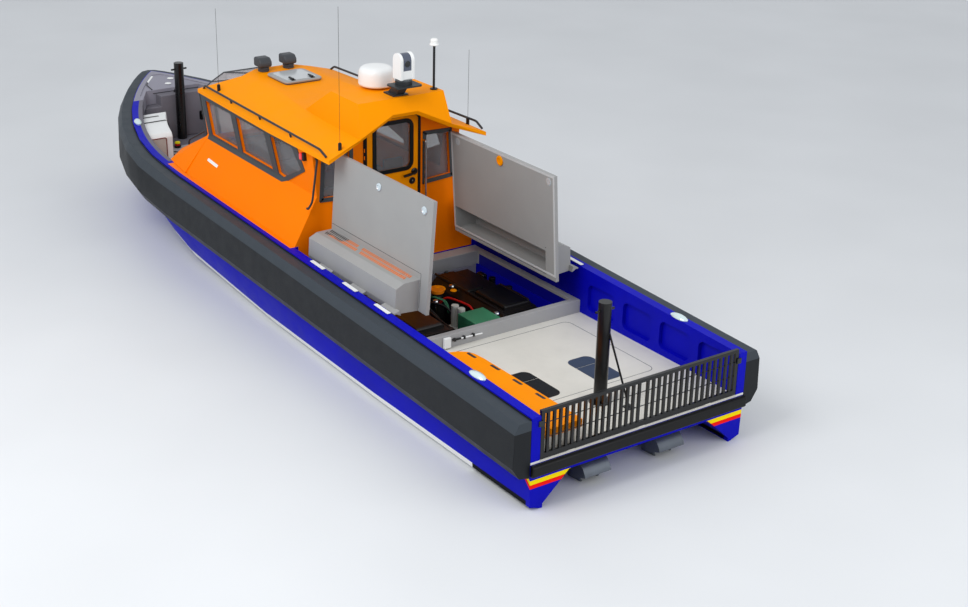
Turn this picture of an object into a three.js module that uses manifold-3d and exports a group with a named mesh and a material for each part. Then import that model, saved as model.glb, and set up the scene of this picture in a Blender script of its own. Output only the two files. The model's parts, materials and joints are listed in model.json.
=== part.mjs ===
// Inshore rescue boat: a decked hull with a foam collar, a wheelhouse, an engine bay under two lids,
// an aft well closed by a slatted gate, and two waterjets in a recess under the stern.
// Millimetres. Each piece is drawn with x forward from the transom, y to port, and z up from the waterline.
// The last group moves the origin to amidships.
import * as THREE from "three";
import { mergeVertices } from "three/addons/utils/BufferGeometryUtils.js";
import Module from "manifold-3d";

const wasm = await Module();
wasm.setup();
const { Manifold, Mesh: SolidMesh } = wasm;

// Driving sizes
const MIDSHIP = 5800;
const GAP = 0.3;
const RAIL_HALF = 1400;
const BOW_START = 8000;
const BOW_LENGTH = 3420;
const LIP_RISE = 25;
const WELL_HALF = 1290;
const DECK_Z = 535;
const DECK_SHEET = 20;
const BAY_AFT = 2593;
const BULKHEAD_X = 4730;
const WALL = 45;
const COAMING_TOP = 690;
const CABIN_FLOOR = 560;
const FORE_FLOOR = 800;

// Height of the rail: x, z
const SHEER = [
  [0, 985],
  [2600, 1078],
  [5200, 1165],
  [7600, 1250],
  [9000, 1340],
  [10100, 1436],
  [11420, 1575],
];

// The hull below the collar: x, half-width at the chine, chine z, keel z
const HULL_STATIONS = [
  [0, 1392, 45, -430],
  [2600, 1380, 48, -440],
  [5200, 1325, 60, -450],
  [7600, 1200, 105, -445],
  [8400, 1090, 150, -430],
  [9000, 980, 200, -390],
  [9600, 820, 270, -300],
  [10100, 650, 360, -150],
  [10500, 480, 470, 60],
  [10850, 310, 610, 330],
  [11150, 150, 770, 620],
  [11330, 60, 880, 790],
  [11415, 4, 940, 905],
];

// The collar's section: out from the rail, up from the rail
const COLLAR_SECTION = [
  [0.5, 0],
  [146, 3],
  [200, -100],
  [213, -462],
  [130, -590],
  [0.5, -617],
];
const COLLAR_DEPTH = 617;
const COLLAR_TIP_HALF_GAP = 0.3;

// Finishes
const FINISH = {
  blue: [0x0a0aa8, 0.3, 0],
  foam: [0x33383c, 0.75, 0],
  orange: [0xff8c00, 0.4, 0],
  lidGrey: [0xa3a3a2, 0.5, 0],
  deckGrey: [0xcccccb, 0.7, 0],
  foreGrey: [0x6e6c73, 0.7, 0],
  white: [0xf2f2f0, 0.35, 0],
  black: [0x0c0c0d, 0.35, 0.2],
  darkGrey: [0x2a2c2e, 0.5, 0.1],
  frameGrey: [0x55585a, 0.5, 0.1],
  rubber: [0x101011, 0.8, 0],
  glass: [0x8a9297, 0.08, 0],
  steel: [0xb9bcbe, 0.25, 0.9],
  green: [0x2f8f63, 0.5, 0],
  seat: [0x24262a, 0.7, 0],
};

// Solids and geometry

function toSolid(geometry) {
  const bare = geometry.index ? geometry.toNonIndexed() : geometry.clone();
  for (const name of Object.keys(bare.attributes)) {
    if (name !== "position") bare.deleteAttribute(name);
  }
  const merged = mergeVertices(bare, 1e-4);
  return new Manifold(
    new SolidMesh({
      numProp: 3,
      vertProperties: new Float32Array(merged.attributes.position.array),
      triVerts: new Uint32Array(merged.index.array),
    }),
  );
}

function toGeometry(solid) {
  const mesh = solid.getMesh();
  const geometry = new THREE.BufferGeometry();
  geometry.setAttribute("position", new THREE.BufferAttribute(mesh.vertProperties, 3));
  geometry.setIndex(new THREE.BufferAttribute(mesh.triVerts, 1));
  const flat = geometry.toNonIndexed();
  flat.computeVertexNormals();
  return flat;
}

const union = (solids) => Manifold.union(solids);
const mirrored = (solid) => solid.mirror([0, 1, 0]);

// A box from its low and high corners.
function box(x0, x1, y0, y1, z0, z1) {
  const geometry = new THREE.BoxGeometry(x1 - x0, y1 - y0, z1 - z0);
  geometry.translate((x0 + x1) / 2, (y0 + y1) / 2, (z0 + z1) / 2);
  return toSolid(geometry);
}

// An outline of [u, v] points pushed along the third axis from `from` to `to`.
// plane "xy" pushes along z, "yz" along x, and "xz" along y.
function prism(plane, outline, from, to) {
  const points = outline.map(([u, v]) => new THREE.Vector2(u, v));
  const shape = new THREE.Shape(points);
  const geometry = new THREE.ExtrudeGeometry(shape, {
    depth: to - from,
    bevelEnabled: false,
    steps: 1,
    curveSegments: 10,
  });
  geometry.translate(0, 0, from);
  const axes = {
    xy: new THREE.Matrix4(),
    yz: new THREE.Matrix4().set(0, 0, 1, 0, 1, 0, 0, 0, 0, 1, 0, 0, 0, 0, 0, 1),
    xz: new THREE.Matrix4().set(1, 0, 0, 0, 0, 0, -1, 0, 0, 1, 0, 0, 0, 0, 0, 1),
  };
  geometry.applyMatrix4(axes[plane]);
  if (plane === "xz") geometry.translate(0, from + to, 0);
  return toSolid(geometry);
}

// A closed skin over rings of equal point count; the two end rings are filled.
function loft(rings) {
  const count = rings[0].length;
  const points = rings.flat();
  const faces = [];
  for (let i = 0; i + 1 < rings.length; i++) {
    for (let j = 0; j < count; j++) {
      const a = i * count + j;
      const b = i * count + ((j + 1) % count);
      faces.push(a, b, a + count, b, b + count, a + count);
    }
  }
  const last = (rings.length - 1) * count;
  for (const [a, b, c] of capTriangles(rings[0])) faces.push(a, c, b);
  for (const [a, b, c] of capTriangles(rings[rings.length - 1])) faces.push(last + a, last + b, last + c);
  return skin(points, faces);
}

// A ring's own triangles, worked out in the plane that it faces most.
function capTriangles(ring) {
  const facing = [0, 0, 0];
  ring.forEach((p, i) => {
    const q = ring[(i + 1) % ring.length];
    for (const k of [0, 1, 2]) {
      const [a, b] = [(k + 1) % 3, (k + 2) % 3];
      facing[k] += p[a] * q[b] - q[a] * p[b];
    }
  });
  const sizes = facing.map(Math.abs);
  const thin = sizes.indexOf(Math.max(...sizes));
  const [u, v] = [0, 1, 2].filter((k) => k !== thin);
  const flat = ring.map((p) => new THREE.Vector2(p[u], p[v]));
  const clockwise = THREE.ShapeUtils.isClockWise(flat);
  const order = ring.map((p, i) => i);
  if (clockwise) order.reverse();
  const triangles = THREE.ShapeUtils.triangulateShape(order.map((i) => flat[i]), []);
  return triangles.map(([a, b, c]) => {
    const named = [order[a], order[b], order[c]];
    return clockwise ? [named[0], named[2], named[1]] : named;
  });
}

// A sheet between two grids of points with equal rows. The two halves of a row are split as mirror images.
function sheetBetween(outerRows, innerRows) {
  const wide = outerRows[0].length;
  const tall = outerRows.length;
  const outer = outerRows.flat();
  const inner = innerRows.flat();
  const half = outer.length;
  const faces = [];
  const quad = (a, b, c, d) => faces.push(a, b, c, a, c, d);
  for (let i = 0; i + 1 < tall; i++) {
    for (let j = 0; j + 1 < wide; j++) {
      const a = i * wide + j;
      const corners = [a, a + 1, a + wide + 1, a + wide];
      if (j >= wide / 2) corners.push(corners.shift());
      const [p, q, r, t] = corners;
      quad(p, q, r, t);
      quad(half + p, half + t, half + r, half + q);
    }
  }
  for (let j = 0; j + 1 < wide; j++) {
    const top = (tall - 1) * wide + j;
    quad(j, half + j, half + j + 1, j + 1);
    quad(top, top + 1, half + top + 1, half + top);
  }
  for (let i = 0; i + 1 < tall; i++) {
    const left = i * wide;
    const right = left + wide - 1;
    quad(left, left + wide, half + left + wide, half + left);
    quad(right, half + right, half + right + wide, right + wide);
  }
  return skin([...outer, ...inner], faces);
}

// A solid from points and triangle corners, turned face out if it comes inside out.
function skin(points, faces) {
  const geometry = new THREE.BufferGeometry();
  geometry.setAttribute("position", new THREE.Float32BufferAttribute(points.flat(), 3));
  geometry.setIndex(faces);
  const solid = toSolid(geometry);
  if (solid.volume() > 0) return solid;
  const turned = [];
  for (let i = 0; i < faces.length; i += 3) turned.push(faces[i], faces[i + 2], faces[i + 1]);
  geometry.setIndex(turned);
  return toSolid(geometry);
}

// A round bar between two points.
function rod(from, to, radius, endRadius = radius, sides = 16) {
  const a = new THREE.Vector3(...from);
  const b = new THREE.Vector3(...to);
  const geometry = new THREE.CylinderGeometry(endRadius, radius, a.distanceTo(b), sides);
  const turn = new THREE.Quaternion().setFromUnitVectors(
    new THREE.Vector3(0, 1, 0),
    b.clone().sub(a).normalize(),
  );
  geometry.applyQuaternion(turn);
  geometry.translate((a.x + b.x) / 2, (a.y + b.y) / 2, (a.z + b.z) / 2);
  return toSolid(geometry);
}

function ball([x, y, z], radius, sides = 12) {
  const geometry = new THREE.SphereGeometry(radius, sides, Math.max(6, sides / 2));
  geometry.translate(x, y, z);
  return toSolid(geometry);
}

// A turned piece about a vertical axis at (x, y): rows of radius and height, on the axis at both ends.
function turned(x, y, rows, sides = 24) {
  const geometry = new THREE.LatheGeometry(rows.map(([r, z]) => new THREE.Vector2(r, z)), sides);
  geometry.rotateX(Math.PI / 2);
  geometry.translate(x, y, 0);
  return toSolid(geometry);
}

// Points of a flat round-cornered rectangle.
function roundRect(u0, u1, v0, v1, radius, steps = 4) {
  const corners = [
    [u1 - radius, v1 - radius, 0],
    [u0 + radius, v1 - radius, 90],
    [u0 + radius, v0 + radius, 180],
    [u1 - radius, v0 + radius, 270],
  ];
  const outline = [];
  for (const [u, v, start] of corners) {
    for (let i = 0; i <= steps; i++) {
      const angle = THREE.MathUtils.degToRad(start + (90 * i) / steps);
      outline.push([u + radius * Math.cos(angle), v + radius * Math.sin(angle)]);
    }
  }
  return outline;
}

// The rail, which the hull, lip and collar follow

function railHalf(x) {
  if (x <= BOW_START) return RAIL_HALF;
  const t = Math.min(1, (x - BOW_START) / BOW_LENGTH);
  return RAIL_HALF * Math.pow(1 - t * t, 0.92);
}

function railZ(x) {
  for (let i = 0; i + 1 < SHEER.length; i++) {
    const [x0, z0] = SHEER[i];
    const [x1, z1] = SHEER[i + 1];
    if (x <= x1) return z0 + ((x - x0) / (x1 - x0)) * (z1 - z0);
  }
  return SHEER[SHEER.length - 1][1];
}

function railOut(x) {
  const slope = (railHalf(x + 2) - railHalf(x - 2)) / 4;
  const length = Math.hypot(1, slope);
  return [-slope / length, 1 / length];
}

// The rail moved in by `inset`, as plan points of one side from x0 to x1.
function railInset(inset, x0, x1, step = 300) {
  const count = Math.max(2, Math.round((x1 - x0) / step));
  const points = [];
  for (let i = 0; i <= count; i++) {
    const x = x0 + ((x1 - x0) * i) / count;
    points.push([x, Math.max(10, railHalf(x) - inset)]);
  }
  return points;
}

// A plan outline on both sides of the centreline from one side's points.
function bothSides(points) {
  return [...points, ...points.map(([x, y]) => [x, -y]).reverse()];
}

// Hull

const RECESS = { depth: 600, bottomHalf: 1236, topHalf: 916, knee: 45, top: 335 };
const BAY = { aft: 2690, fore: 4520, half: 1190, floor: 60 };
const FORE_WELL = { aft: 8079, fore: 10690, inset: 160 };
const NOSE_HALF = 860;
const BOW_DECK = { inset: 95, aft: 10500, fore: 11250, drop: 12 };
const LID_HINGE = { y: 1250, z: 1085 };
const LUGS_X = [2850, 3550, 4250];
const LUG_HALF_LENGTH = 60;
const LUG_HALF_HEIGHT = 11;
const HINGE_ROD = 10;

function hullRing([x, chineHalf, chineZ, keelZ]) {
  const side = railHalf(x);
  const top = railZ(x) + LIP_RISE;
  const under = railZ(x) - COLLAR_DEPTH - 8;
  const port = [
    [x, side, top],
    [x, side, under],
    [x, chineHalf, chineZ],
  ];
  const starboard = port.map(([px, py, pz]) => [px, -py, pz]).reverse();
  return [...port, [x, 0, keelZ], ...starboard];
}

function hull() {
  const body = loft(HULL_STATIONS.map(hullRing));
  const high = 2500;
  const foreWell = prism("xy", bothSides(railInset(FORE_WELL.inset, FORE_WELL.aft, FORE_WELL.fore)),
    FORE_FLOOR, high);
  const [deckAft, deckFore] = [BOW_DECK.aft - 50, BOW_DECK.fore + 50];
  const deckAt = (x) => railZ(x) + LIP_RISE - BOW_DECK.drop;
  const aboveDeck = [[deckAft, deckAt(deckAft)], [deckFore, deckAt(deckFore)], [deckFore, high], [deckAft, high]];
  const bowDeck = prism("xy", bothSides(railInset(BOW_DECK.inset, BOW_DECK.aft, BOW_DECK.fore)), 1000, high)
    .intersect(prism("xz", aboveDeck, -1500, 1500));
  const recess = prism("yz", [
    [-RECESS.bottomHalf, -600],
    [RECESS.bottomHalf, -600],
    [RECESS.bottomHalf, RECESS.knee],
    [RECESS.topHalf, RECESS.top],
    [-RECESS.topHalf, RECESS.top],
    [-RECESS.bottomHalf, RECESS.knee],
  ], -10, RECESS.depth);
  const cuts = union([
    box(-10, BULKHEAD_X - 3, -WELL_HALF, WELL_HALF, DECK_Z - DECK_SHEET, high),
    box(BAY.aft, BAY.fore, -BAY.half, BAY.half, BAY.floor, high),
    box(BULKHEAD_X - 10, 7650, -1240, 1240, 700, high),
    box(7600, FORE_WELL.aft + 1, -NOSE_HALF, NOSE_HALF, 700, high),
    box(BULKHEAD_X + WALL + 10, 8000, -NOSE_HALF, NOSE_HALF, CABIN_FLOOR, high),
    foreWell,
    bowDeck,
    recess,
  ]);
  const lugs = [];
  for (const x of LUGS_X) {
    const lug = box(x - LUG_HALF_LENGTH, x + LUG_HALF_LENGTH, LID_HINGE.y + HINGE_ROD + GAP, WELL_HALF + 5,
      LID_HINGE.z - LUG_HALF_HEIGHT, LID_HINGE.z + LUG_HALF_HEIGHT);
    lugs.push(lug, mirrored(lug));
  }
  return union([body.subtract(cuts), ...lugs]);
}

// Foam collar

const COLLAR_X = [0, 2600, 5200, 7600, 8400, 9000, 9600, 10100, 10500, 10850, 11150, 11330, 11415];

function collarPort() {
  const rings = COLLAR_X.map((x) => {
    const [nx, ny] = railOut(x);
    return COLLAR_SECTION.map(([out, up]) => [x + nx * out, railHalf(x) + ny * out, railZ(x) + up]);
  });
  const tip = BOW_START + BOW_LENGTH;
  rings.push(COLLAR_SECTION.map(([out, up]) => [tip + out, COLLAR_TIP_HALF_GAP, railZ(tip) + up]));
  return loft(rings);
}

// Aft well

const GATE = { half: 1284, aft: 2, thick: 30, height: 520, lift: 6 };
const GATE_PADS_Y = [-900, 0, 900];

function aftDeck() {
  const sheet = box(1, BAY_AFT - GAP, -(WELL_HALF - GAP), WELL_HALF - GAP, DECK_Z - DECK_SHEET + GAP, DECK_Z);
  const pads = GATE_PADS_Y.map((y) =>
    box(GATE.aft + 2, GATE.aft + GATE.thick - 2, y - 40, y + 40, DECK_Z - 5, DECK_Z + GATE.lift - GAP),
  );
  return union([sheet, ...pads]);
}

// The orange board on its bench: inner edge, outer edge, ends, and heights
const BOARD = { inner: 730, outer: 1282, aft: 60, fore: 2040, low: 712, top: 800 };
const BENCH_FORE = 1850;

function sideBench() {
  return box(BOARD.aft + 40, BENCH_FORE, BOARD.inner + 50, WELL_HALF - GAP, DECK_Z + GAP, BOARD.low - GAP);
}

function rescueBoard() {
  const outline = [
    [BOARD.aft, BOARD.inner],
    [BOARD.fore - 330, BOARD.inner],
    [BOARD.fore - 200, BOARD.inner + 12],
    [BOARD.fore - 105, BOARD.inner + 55],
    [BOARD.fore - 40, BOARD.inner + 130],
    [BOARD.fore, BOARD.inner + 250],
    [BOARD.fore, BOARD.outer],
    [BOARD.aft, BOARD.outer],
  ];
  return prism("xy", outline, BOARD.low, BOARD.top);
}

function coaming() {
  const outer = box(BAY_AFT, BULKHEAD_X - 4, -(WELL_HALF - GAP), WELL_HALF - GAP,
    DECK_Z - DECK_SHEET + GAP, COAMING_TOP);
  const inner = box(BAY.aft - 10, BAY.fore + 10, -BAY.half - 10, BAY.half + 10, 400, 800);
  return outer.subtract(inner);
}

// Gate: a frame of end bars and rails, flat slats, and two thin rods
const SLAT = { count: 16, wide: 30, thick: 24, pitch: 76, firstY: 55 };

function sternGate() {
  const z0 = DECK_Z + GATE.lift;
  const z1 = z0 + GATE.height;
  const x0 = GATE.aft;
  const x1 = GATE.aft + GATE.thick;
  const mid = (x0 + x1) / 2;
  const bar = 44;
  const pieces = [
    box(x0, x1, -GATE.half, GATE.half, z0, z0 + 56),
    box(x0, x1 + 6, -GATE.half, GATE.half, z1 - 36, z1),
    box(x0, x1, -GATE.half, -GATE.half + bar, z0, z1 - 5),
    box(x0, x1, GATE.half - bar, GATE.half, z0, z1 - 5),
  ];
  for (let i = 0; i < SLAT.count; i++) {
    const y = SLAT.firstY + SLAT.pitch * i;
    for (const side of [-1, 1]) {
      const centre = side * y;
      pieces.push(box(mid - SLAT.thick / 2, mid + SLAT.thick / 2, centre - SLAT.wide / 2,
        centre + SLAT.wide / 2, z0 + 5, z1 - 5));
    }
  }
  for (const share of [0.42, 0.72]) {
    const z = z0 + share * GATE.height;
    pieces.push(rod([mid, -GATE.half + 10, z], [mid, GATE.half - 10, z], 5, 5, 8));
  }
  return union(pieces);
}

function sternFender() {
  const outline = [
    [-GAP, 383],
    [-GAP, 511],
    [-38, 511],
    [-58, 492],
    [-58, 402],
    [-38, 383],
  ];
  return prism("xz", outline, -1405, 1405);
}

// Towing posts
const POST_RADIUS = 70;
const AFT_POST = { x: 665, top: 1652 };
const FORE_POST = { x: 10430, top: 1944 };
const LOCKER_TOP = 1458;

function towPostAft() {
  const { x, top } = AFT_POST;
  return union([
    rod([x, 0, DECK_Z + GAP], [x, 0, top], POST_RADIUS, POST_RADIUS, 24),
    turned(x, 0, [[0, DECK_Z + GAP], [120, DECK_Z + GAP], [120, DECK_Z + 16], [0, DECK_Z + 16]]),
    rod([x, -95, top - 95], [x, 95, top - 95], 11),
    rod([x - 20, -12, 1434], [x - 275, -158, DECK_Z + 12], 11),
    box(x - 325, x - 225, -205, -110, DECK_Z + GAP, DECK_Z + 12),
  ]);
}

function towPostFore() {
  const { x, top } = FORE_POST;
  const gusset = prism("xz", [
    [x, LOCKER_TOP + GAP],
    [x + 220, LOCKER_TOP + GAP],
    [x + 40, 1640],
    [x, 1640],
  ], -8, 8);
  return union([
    rod([x, 0, FORE_FLOOR + GAP], [x, 0, top], POST_RADIUS, POST_RADIUS, 24),
    rod([x, -95, top - 95], [x, 95, top - 95], 11),
    gusset,
  ]);
}

// Cleats, each a smooth oval cap: x, y, turn in degrees
const CLEAT_STRETCH = 2.5;
const CLEATS = {
  cleat_aft_port: [980, 1336, 0],
  cleat_aft_starboard: [980, -1336, 0],
  cleat_fore_port: [9588, 1046, -16],
  cleat_fore_starboard: [9588, -1046, 16],
};

// What lies below the lip's top, to trim a piece that stands on it.
function belowLip(x, reach) {
  const rings = [x - reach, x + reach].map((px) => [
    [px, -1500, 0],
    [px, 1500, 0],
    [px, 1500, lipTop(px)],
    [px, -1500, lipTop(px)],
  ]);
  return loft(rings);
}

function cleat([x, y, turn]) {
  const foot = railZ(x) + LIP_RISE;
  const cap = turned(0, 0, [
    [0, foot - 20],
    [50, foot - 20],
    [52, foot + 10],
    [40, foot + 28],
    [22, foot + 38],
    [0, foot + 41],
  ]);
  return cap.scale([CLEAT_STRETCH, 1, 1]).rotate([0, 0, turn]).translate([x, y, 0]).subtract(belowLip(x, 200));
}

// Engine bay

function engineBlock() {
  return union([
    prism("yz", [
      [290, BAY.floor + GAP],
      [900, BAY.floor + GAP],
      [950, 200],
      [950, 480],
      [810, 640],
      [350, 640],
      [280, 560],
      [250, 200],
    ], 2800, 4200),
    box(2900, 3500, 420, 800, 600, 672),
  ]);
}

const COOLER = { x: 3785, y: -80 };

function coolingTank() {
  const { x, y } = COOLER;
  return turned(x, y, [
    [0, BAY.floor + GAP],
    [90, BAY.floor + GAP],
    [90, 560],
    [70, 600],
    [70, 635],
    [88, 640],
    [88, 680],
    [0, 680],
  ]);
}

function gearCasing() {
  return union([
    box(2745, 3090, -190, 105, BAY.floor + GAP, 645),
    box(2745, 3090, -250, 105, 642, 660),
  ]);
}

function filterPair() {
  return union([
    box(3100, 3330, -60, 100, BAY.floor + GAP, 420),
    rod([3154, 10, 400], [3154, 10, 680], 45, 45, 20),
    rod([3271, 17, 400], [3271, 17, 680], 45, 45, 20),
  ]);
}

// Lids over the engine bay, drawn closed and then turned open about the hinge.
// A flat panel carries a box, open below, on its outboard side.
const LID = { aft: 2540, fore: 4560, centre: 8, outer: 1288, low: 700, top: 742, openDegrees: 86 };
const LID_BOX = { aft: 2700, sheet: 28 };
const LID_BOX_OUTLINE = [
  [929, 742],
  [946, 941],
  [1001, 1040],
  [1212, 1038],
  [LID.outer, 1014],
];
const LID_HOLLOW_OUTLINE = [
  [958, 745],
  [974, 930],
  [1018, 1012],
  [1208, 1010],
  [LID.outer - LID_BOX.sheet, 994],
];
const LID_BRACKETS_X = [2768, 3430, 4137];
const LID_BRACKET_HALF = 140;

function lidBracket(x) {
  const { y, z } = LID_HINGE;
  const outline = [[1218, 1025], [1278, 1005], [y + 5, z - 26], [y + 4, z], [y - 8, z]];
  const [aft, fore] = [x - LID_BRACKET_HALF, x + LID_BRACKET_HALF];
  return union([
    prism("yz", outline, aft, fore),
    rod([aft, LID_HINGE.y, LID_HINGE.z], [fore, LID_HINGE.y, LID_HINGE.z], HINGE_ROD, HINGE_ROD, 16),
  ]);
}

function lidPort() {
  const below = (outline, z) => {
    const [first, last] = [outline[0], outline[outline.length - 1]];
    return [...outline, [last[0], z], [first[0], z]];
  };
  const { aft, fore } = LID;
  const { sheet } = LID_BOX;
  const solids = union([
    box(aft, fore, LID.centre, LID.outer, LID.low, LID.top),
    prism("yz", below(LID_BOX_OUTLINE, LID.low), LID_BOX.aft, fore),
  ]);
  const shell = solids.subtract(
    prism("yz", below(LID_HOLLOW_OUTLINE, LID.low - 10), LID_BOX.aft + sheet, fore - sheet),
  );
  return union([shell, ...LID_BRACKETS_X.map(lidBracket)])
    .translate([0, -LID_HINGE.y, -LID_HINGE.z])
    .rotate([-LID.openDegrees, 0, 0])
    .translate([0, LID_HINGE.y, LID_HINGE.z]);
}

// Roof
// Each row runs across the port half: eave x y z, knee x y z, crown x y z.
const ROOF_ROWS = [
  [4257, 1084, 2322, 4320, 627, 2479, 4356, 169, 2691],
  [4440, 1084, 2323, 4440, 626, 2479, 4440, 584, 2859],
  [5072, 1082, 2325, 5072, 615, 2484, 5072, 566, 2859],
  [5690, 1079, 2326, 5690, 605, 2490, 5690, 560, 2492],
  [7411, 1005, 2324, 7411, 516, 2488, 7411, 300, 2512],
  [7740, 989, 2322, 7440, 500, 2494, 7541, 258, 2530],
];
// How far the underside's knee and crown lie forward of the skin's and inside them, row by row
const ROOF_INSETS = [
  [30, 0],
  [45, 45],
  [0, 45],
  [0, 0],
  [0, 0],
  [0, 0],
];
const ROOF_SHEET = 48;
const ROOF_CUT_HEIGHT = 700;
const BLOCK_TOP = 2859;

function acrossBoat(port) {
  return [...port, ...port.map(([x, y, z]) => [x, -y, z]).reverse()];
}

function roofSkin(lift) {
  return ROOF_ROWS.map(([ex, ey, ez, kx, ky, kz, cx, cy, cz]) =>
    acrossBoat([
      [ex, ey, ez + lift],
      [kx, ky, kz + lift],
      [cx, cy, cz + lift],
    ]),
  );
}

// The underside, with `clear` more below and inside it.
function roofUnderside(clear) {
  return ROOF_ROWS.map(([ex, ey, ez, kx, ky, kz, cx, cy, cz], i) => {
    const [forward, inward] = ROOF_INSETS[i].map((inset) => (inset ? inset + clear : 0));
    const drop = ROOF_SHEET + clear;
    return acrossBoat([
      [ex, ey, ez - drop],
      [kx + forward, ky - inward, kz - drop],
      [cx + forward, cy - inward, cz - drop],
    ]);
  });
}

function roof() {
  return sheetBetween(roofSkin(0), roofUnderside(0)).subtract(prism("xy", hatchOutline(15), 2300, 2700));
}

// What a piece under the roof is trimmed by, so that it ends just below the roof.
function roofCut() {
  return sheetBetween(roofSkin(ROOF_CUT_HEIGHT), roofUnderside(GAP));
}

// Wheelhouse
// Section rows along x: base half-width and z, shoulder half-width and z, top half-width and z.
const HOUSE_HIGH = 3000;
const HOUSE_ROWS = [
  [4730, 1296, 1155, 975, 1735, 1035, 2330],
  [7640, 1296, 1250, 925, 1735, 985, 2330],
];
// The nose in front of the windscreen: x, base half-width, shoulder half-width, shoulder z
const NOSE_ROWS = [
  [7600, 1296, 925, 1735],
  [8125, 1250, 1075, 1435],
];
const NOSE_FRONT = 8125;
const NOSE_WALL_HALF = 1236;
const NOSE_TOP = 1432;

// The side wall's outer face above the shoulder, as a half-width.
function wallY(x, z) {
  const [[x0, , , knee0, z0, top0, z1], [x1, , , knee1]] = HOUSE_ROWS;
  return knee0 + ((z - z0) * (top0 - knee0)) / (z1 - z0) + ((x - x0) * (knee1 - knee0)) / (x1 - x0);
}

function houseRing(row, inset) {
  const [x, baseHalf, baseZ, kneeHalf, kneeZ, topHalf, topZ] = row;
  const port = [
    [x, baseHalf - inset, inset ? baseZ - 300 : baseZ],
    [x, kneeHalf - inset, kneeZ],
    [x, topHalf - inset, topZ],
    [x, topHalf - inset, inset ? HOUSE_HIGH + 100 : HOUSE_HIGH],
  ];
  return acrossBoat(port);
}

function lipTop(x) {
  return railZ(x) + LIP_RISE + GAP;
}

function noseRing([x, baseHalf, kneeHalf, kneeZ], inset) {
  const port = [
    [x, baseHalf - inset, inset ? lipTop(x) - 300 : lipTop(x)],
    [x, kneeHalf - inset, kneeZ - inset],
  ];
  return acrossBoat(port);
}

// Side windows: outlines of x and z on the port side
const SIDE_WINDOWS = [
  [[7490, 1765], [7560, 2215], [6830, 2215], [6740, 1765]],
  [[6630, 1765], [6700, 2215], [5930, 2215], [5800, 1765]],
  [[5680, 1765], [5790, 2215], [5230, 2220], [5040, 1985], [5540, 1745]],
];
const AFT_WINDOW = { inner: 530, outer: 900, low: 1680, top: 2240 };
const DOOR = { port: 310, starboard: -420, low: 790, top: 2520, thick: 40 };
const DOOR_WINDOW = { port: 180, starboard: -316, low: 1890, top: 2460 };

function doorOutline(grow) {
  return [
    [DOOR.starboard - grow, DOOR.low - grow],
    [DOOR.port + grow, DOOR.low - grow],
    [DOOR.port + grow, DOOR.top + grow],
    [DOOR.starboard - grow, DOOR.top + grow],
  ];
}

function wheelhouse() {
  const outer = loft(HOUSE_ROWS.map((row) => houseRing(row, 0)));
  const inner = loft(HOUSE_ROWS.map((row, i) => {
    const moved = [...row];
    moved[0] = i === 0 ? BULKHEAD_X + WALL : row[0] + 20;
    return houseRing(moved, WALL);
  }));
  const noseOuter = loft(NOSE_ROWS.map((row) => noseRing(row, 0)));
  const noseInner = loft([
    noseRing([NOSE_ROWS[0][0] - 40, ...NOSE_ROWS[0].slice(1)], WALL),
    noseRing([NOSE_FRONT - WALL, 1254, 1062, 1461], WALL),
  ]);
  const lowerWall = box(BULKHEAD_X, BULKHEAD_X + WALL, -1239, 1239, 700 + GAP, 1200);
  const frontWall = box(NOSE_FRONT - WALL, NOSE_FRONT, -NOSE_WALL_HALF, NOSE_WALL_HALF, FORE_FLOOR + GAP, 1300);
  const frontTop = box(NOSE_FRONT - WALL, NOSE_FRONT, -1000, 1000, 1200, NOSE_TOP);
  const hinges = DOOR_HINGES_Z.flatMap((z) => [doorKnuckle(z + 45, 1), doorKnuckle(z - 45, 1)]);
  const windows = SIDE_WINDOWS.map((outline) => prism("xz", outline, -1300, 1300));
  const { inner: wi, outer: wo, low, top } = AFT_WINDOW;
  const aftWindow = prism("yz", [[wi, low], [wo, low + 25], [wo - 40, top], [wi, top + 15]], 4700, 4800);
  const lipCut = hullTopCut();
  return union([outer, noseOuter])
    .subtract(union([inner, noseInner]))
    .add(union([lowerWall, frontWall, frontTop]))
    .subtract(union([
      roofCut(),
      lipCut,
      prism("yz", doorOutline(8), 4700, 4800),
      aftWindow,
      mirrored(aftWindow),
      ...windows,
    ]))
    .add(union(hinges));
}

// What lies below the lip's top, from the bulkhead to the nose, outside the cabin's own opening.
function hullTopCut() {
  const rings = [4600, 7400, 9000].map((x) => {
    const z = lipTop(x);
    return [
      [x, 1239.7, 300],
      [x, 1500, 300],
      [x, 1500, z],
      [x, 1239.7, z],
    ];
  });
  const port = loft(rings);
  return union([port, mirrored(port)]);
}

// Door, drawn closed in the bulkhead's face
const DOOR_HINGES_Z = [1000, 2150];
const DOOR_HINGE = { x: BULKHEAD_X - 10, y: 318, radius: 9.5, length: 44 };

// One knuckle of a door hinge with its tab: side 1 is on the bulkhead, and -1 is on the door.
function doorKnuckle(z, side) {
  const { x, y, radius, length } = DOOR_HINGE;
  const z0 = z - length / 2;
  const z1 = z + length / 2;
  const near = Math.min(y, y + side * 24);
  return union([
    rod([x, y, z0], [x, y, z1], radius, radius, 12),
    box(x - 8, BULKHEAD_X + (side > 0 ? 1 : 3), near, near + 24, z0, z1),
  ]);
}

function door() {
  const leaf = prism("yz", doorOutline(0), BULKHEAD_X, BULKHEAD_X + DOOR.thick);
  const { port, starboard, low, top } = DOOR_WINDOW;
  const window = prism("yz", roundRect(starboard, port, low, top, 60), 4700, 4800);
  const knuckles = DOOR_HINGES_Z.map((z) => doorKnuckle(z, -1));
  return union([leaf.subtract(window), ...knuckles]);
}

function doorGlass() {
  const { port, starboard, low, top } = DOOR_WINDOW;
  return prism("yz", roundRect(starboard + GAP, port - GAP, low + GAP, top - GAP, 60), BULKHEAD_X + 15,
    BULKHEAD_X + 23);
}

// Glass

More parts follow.
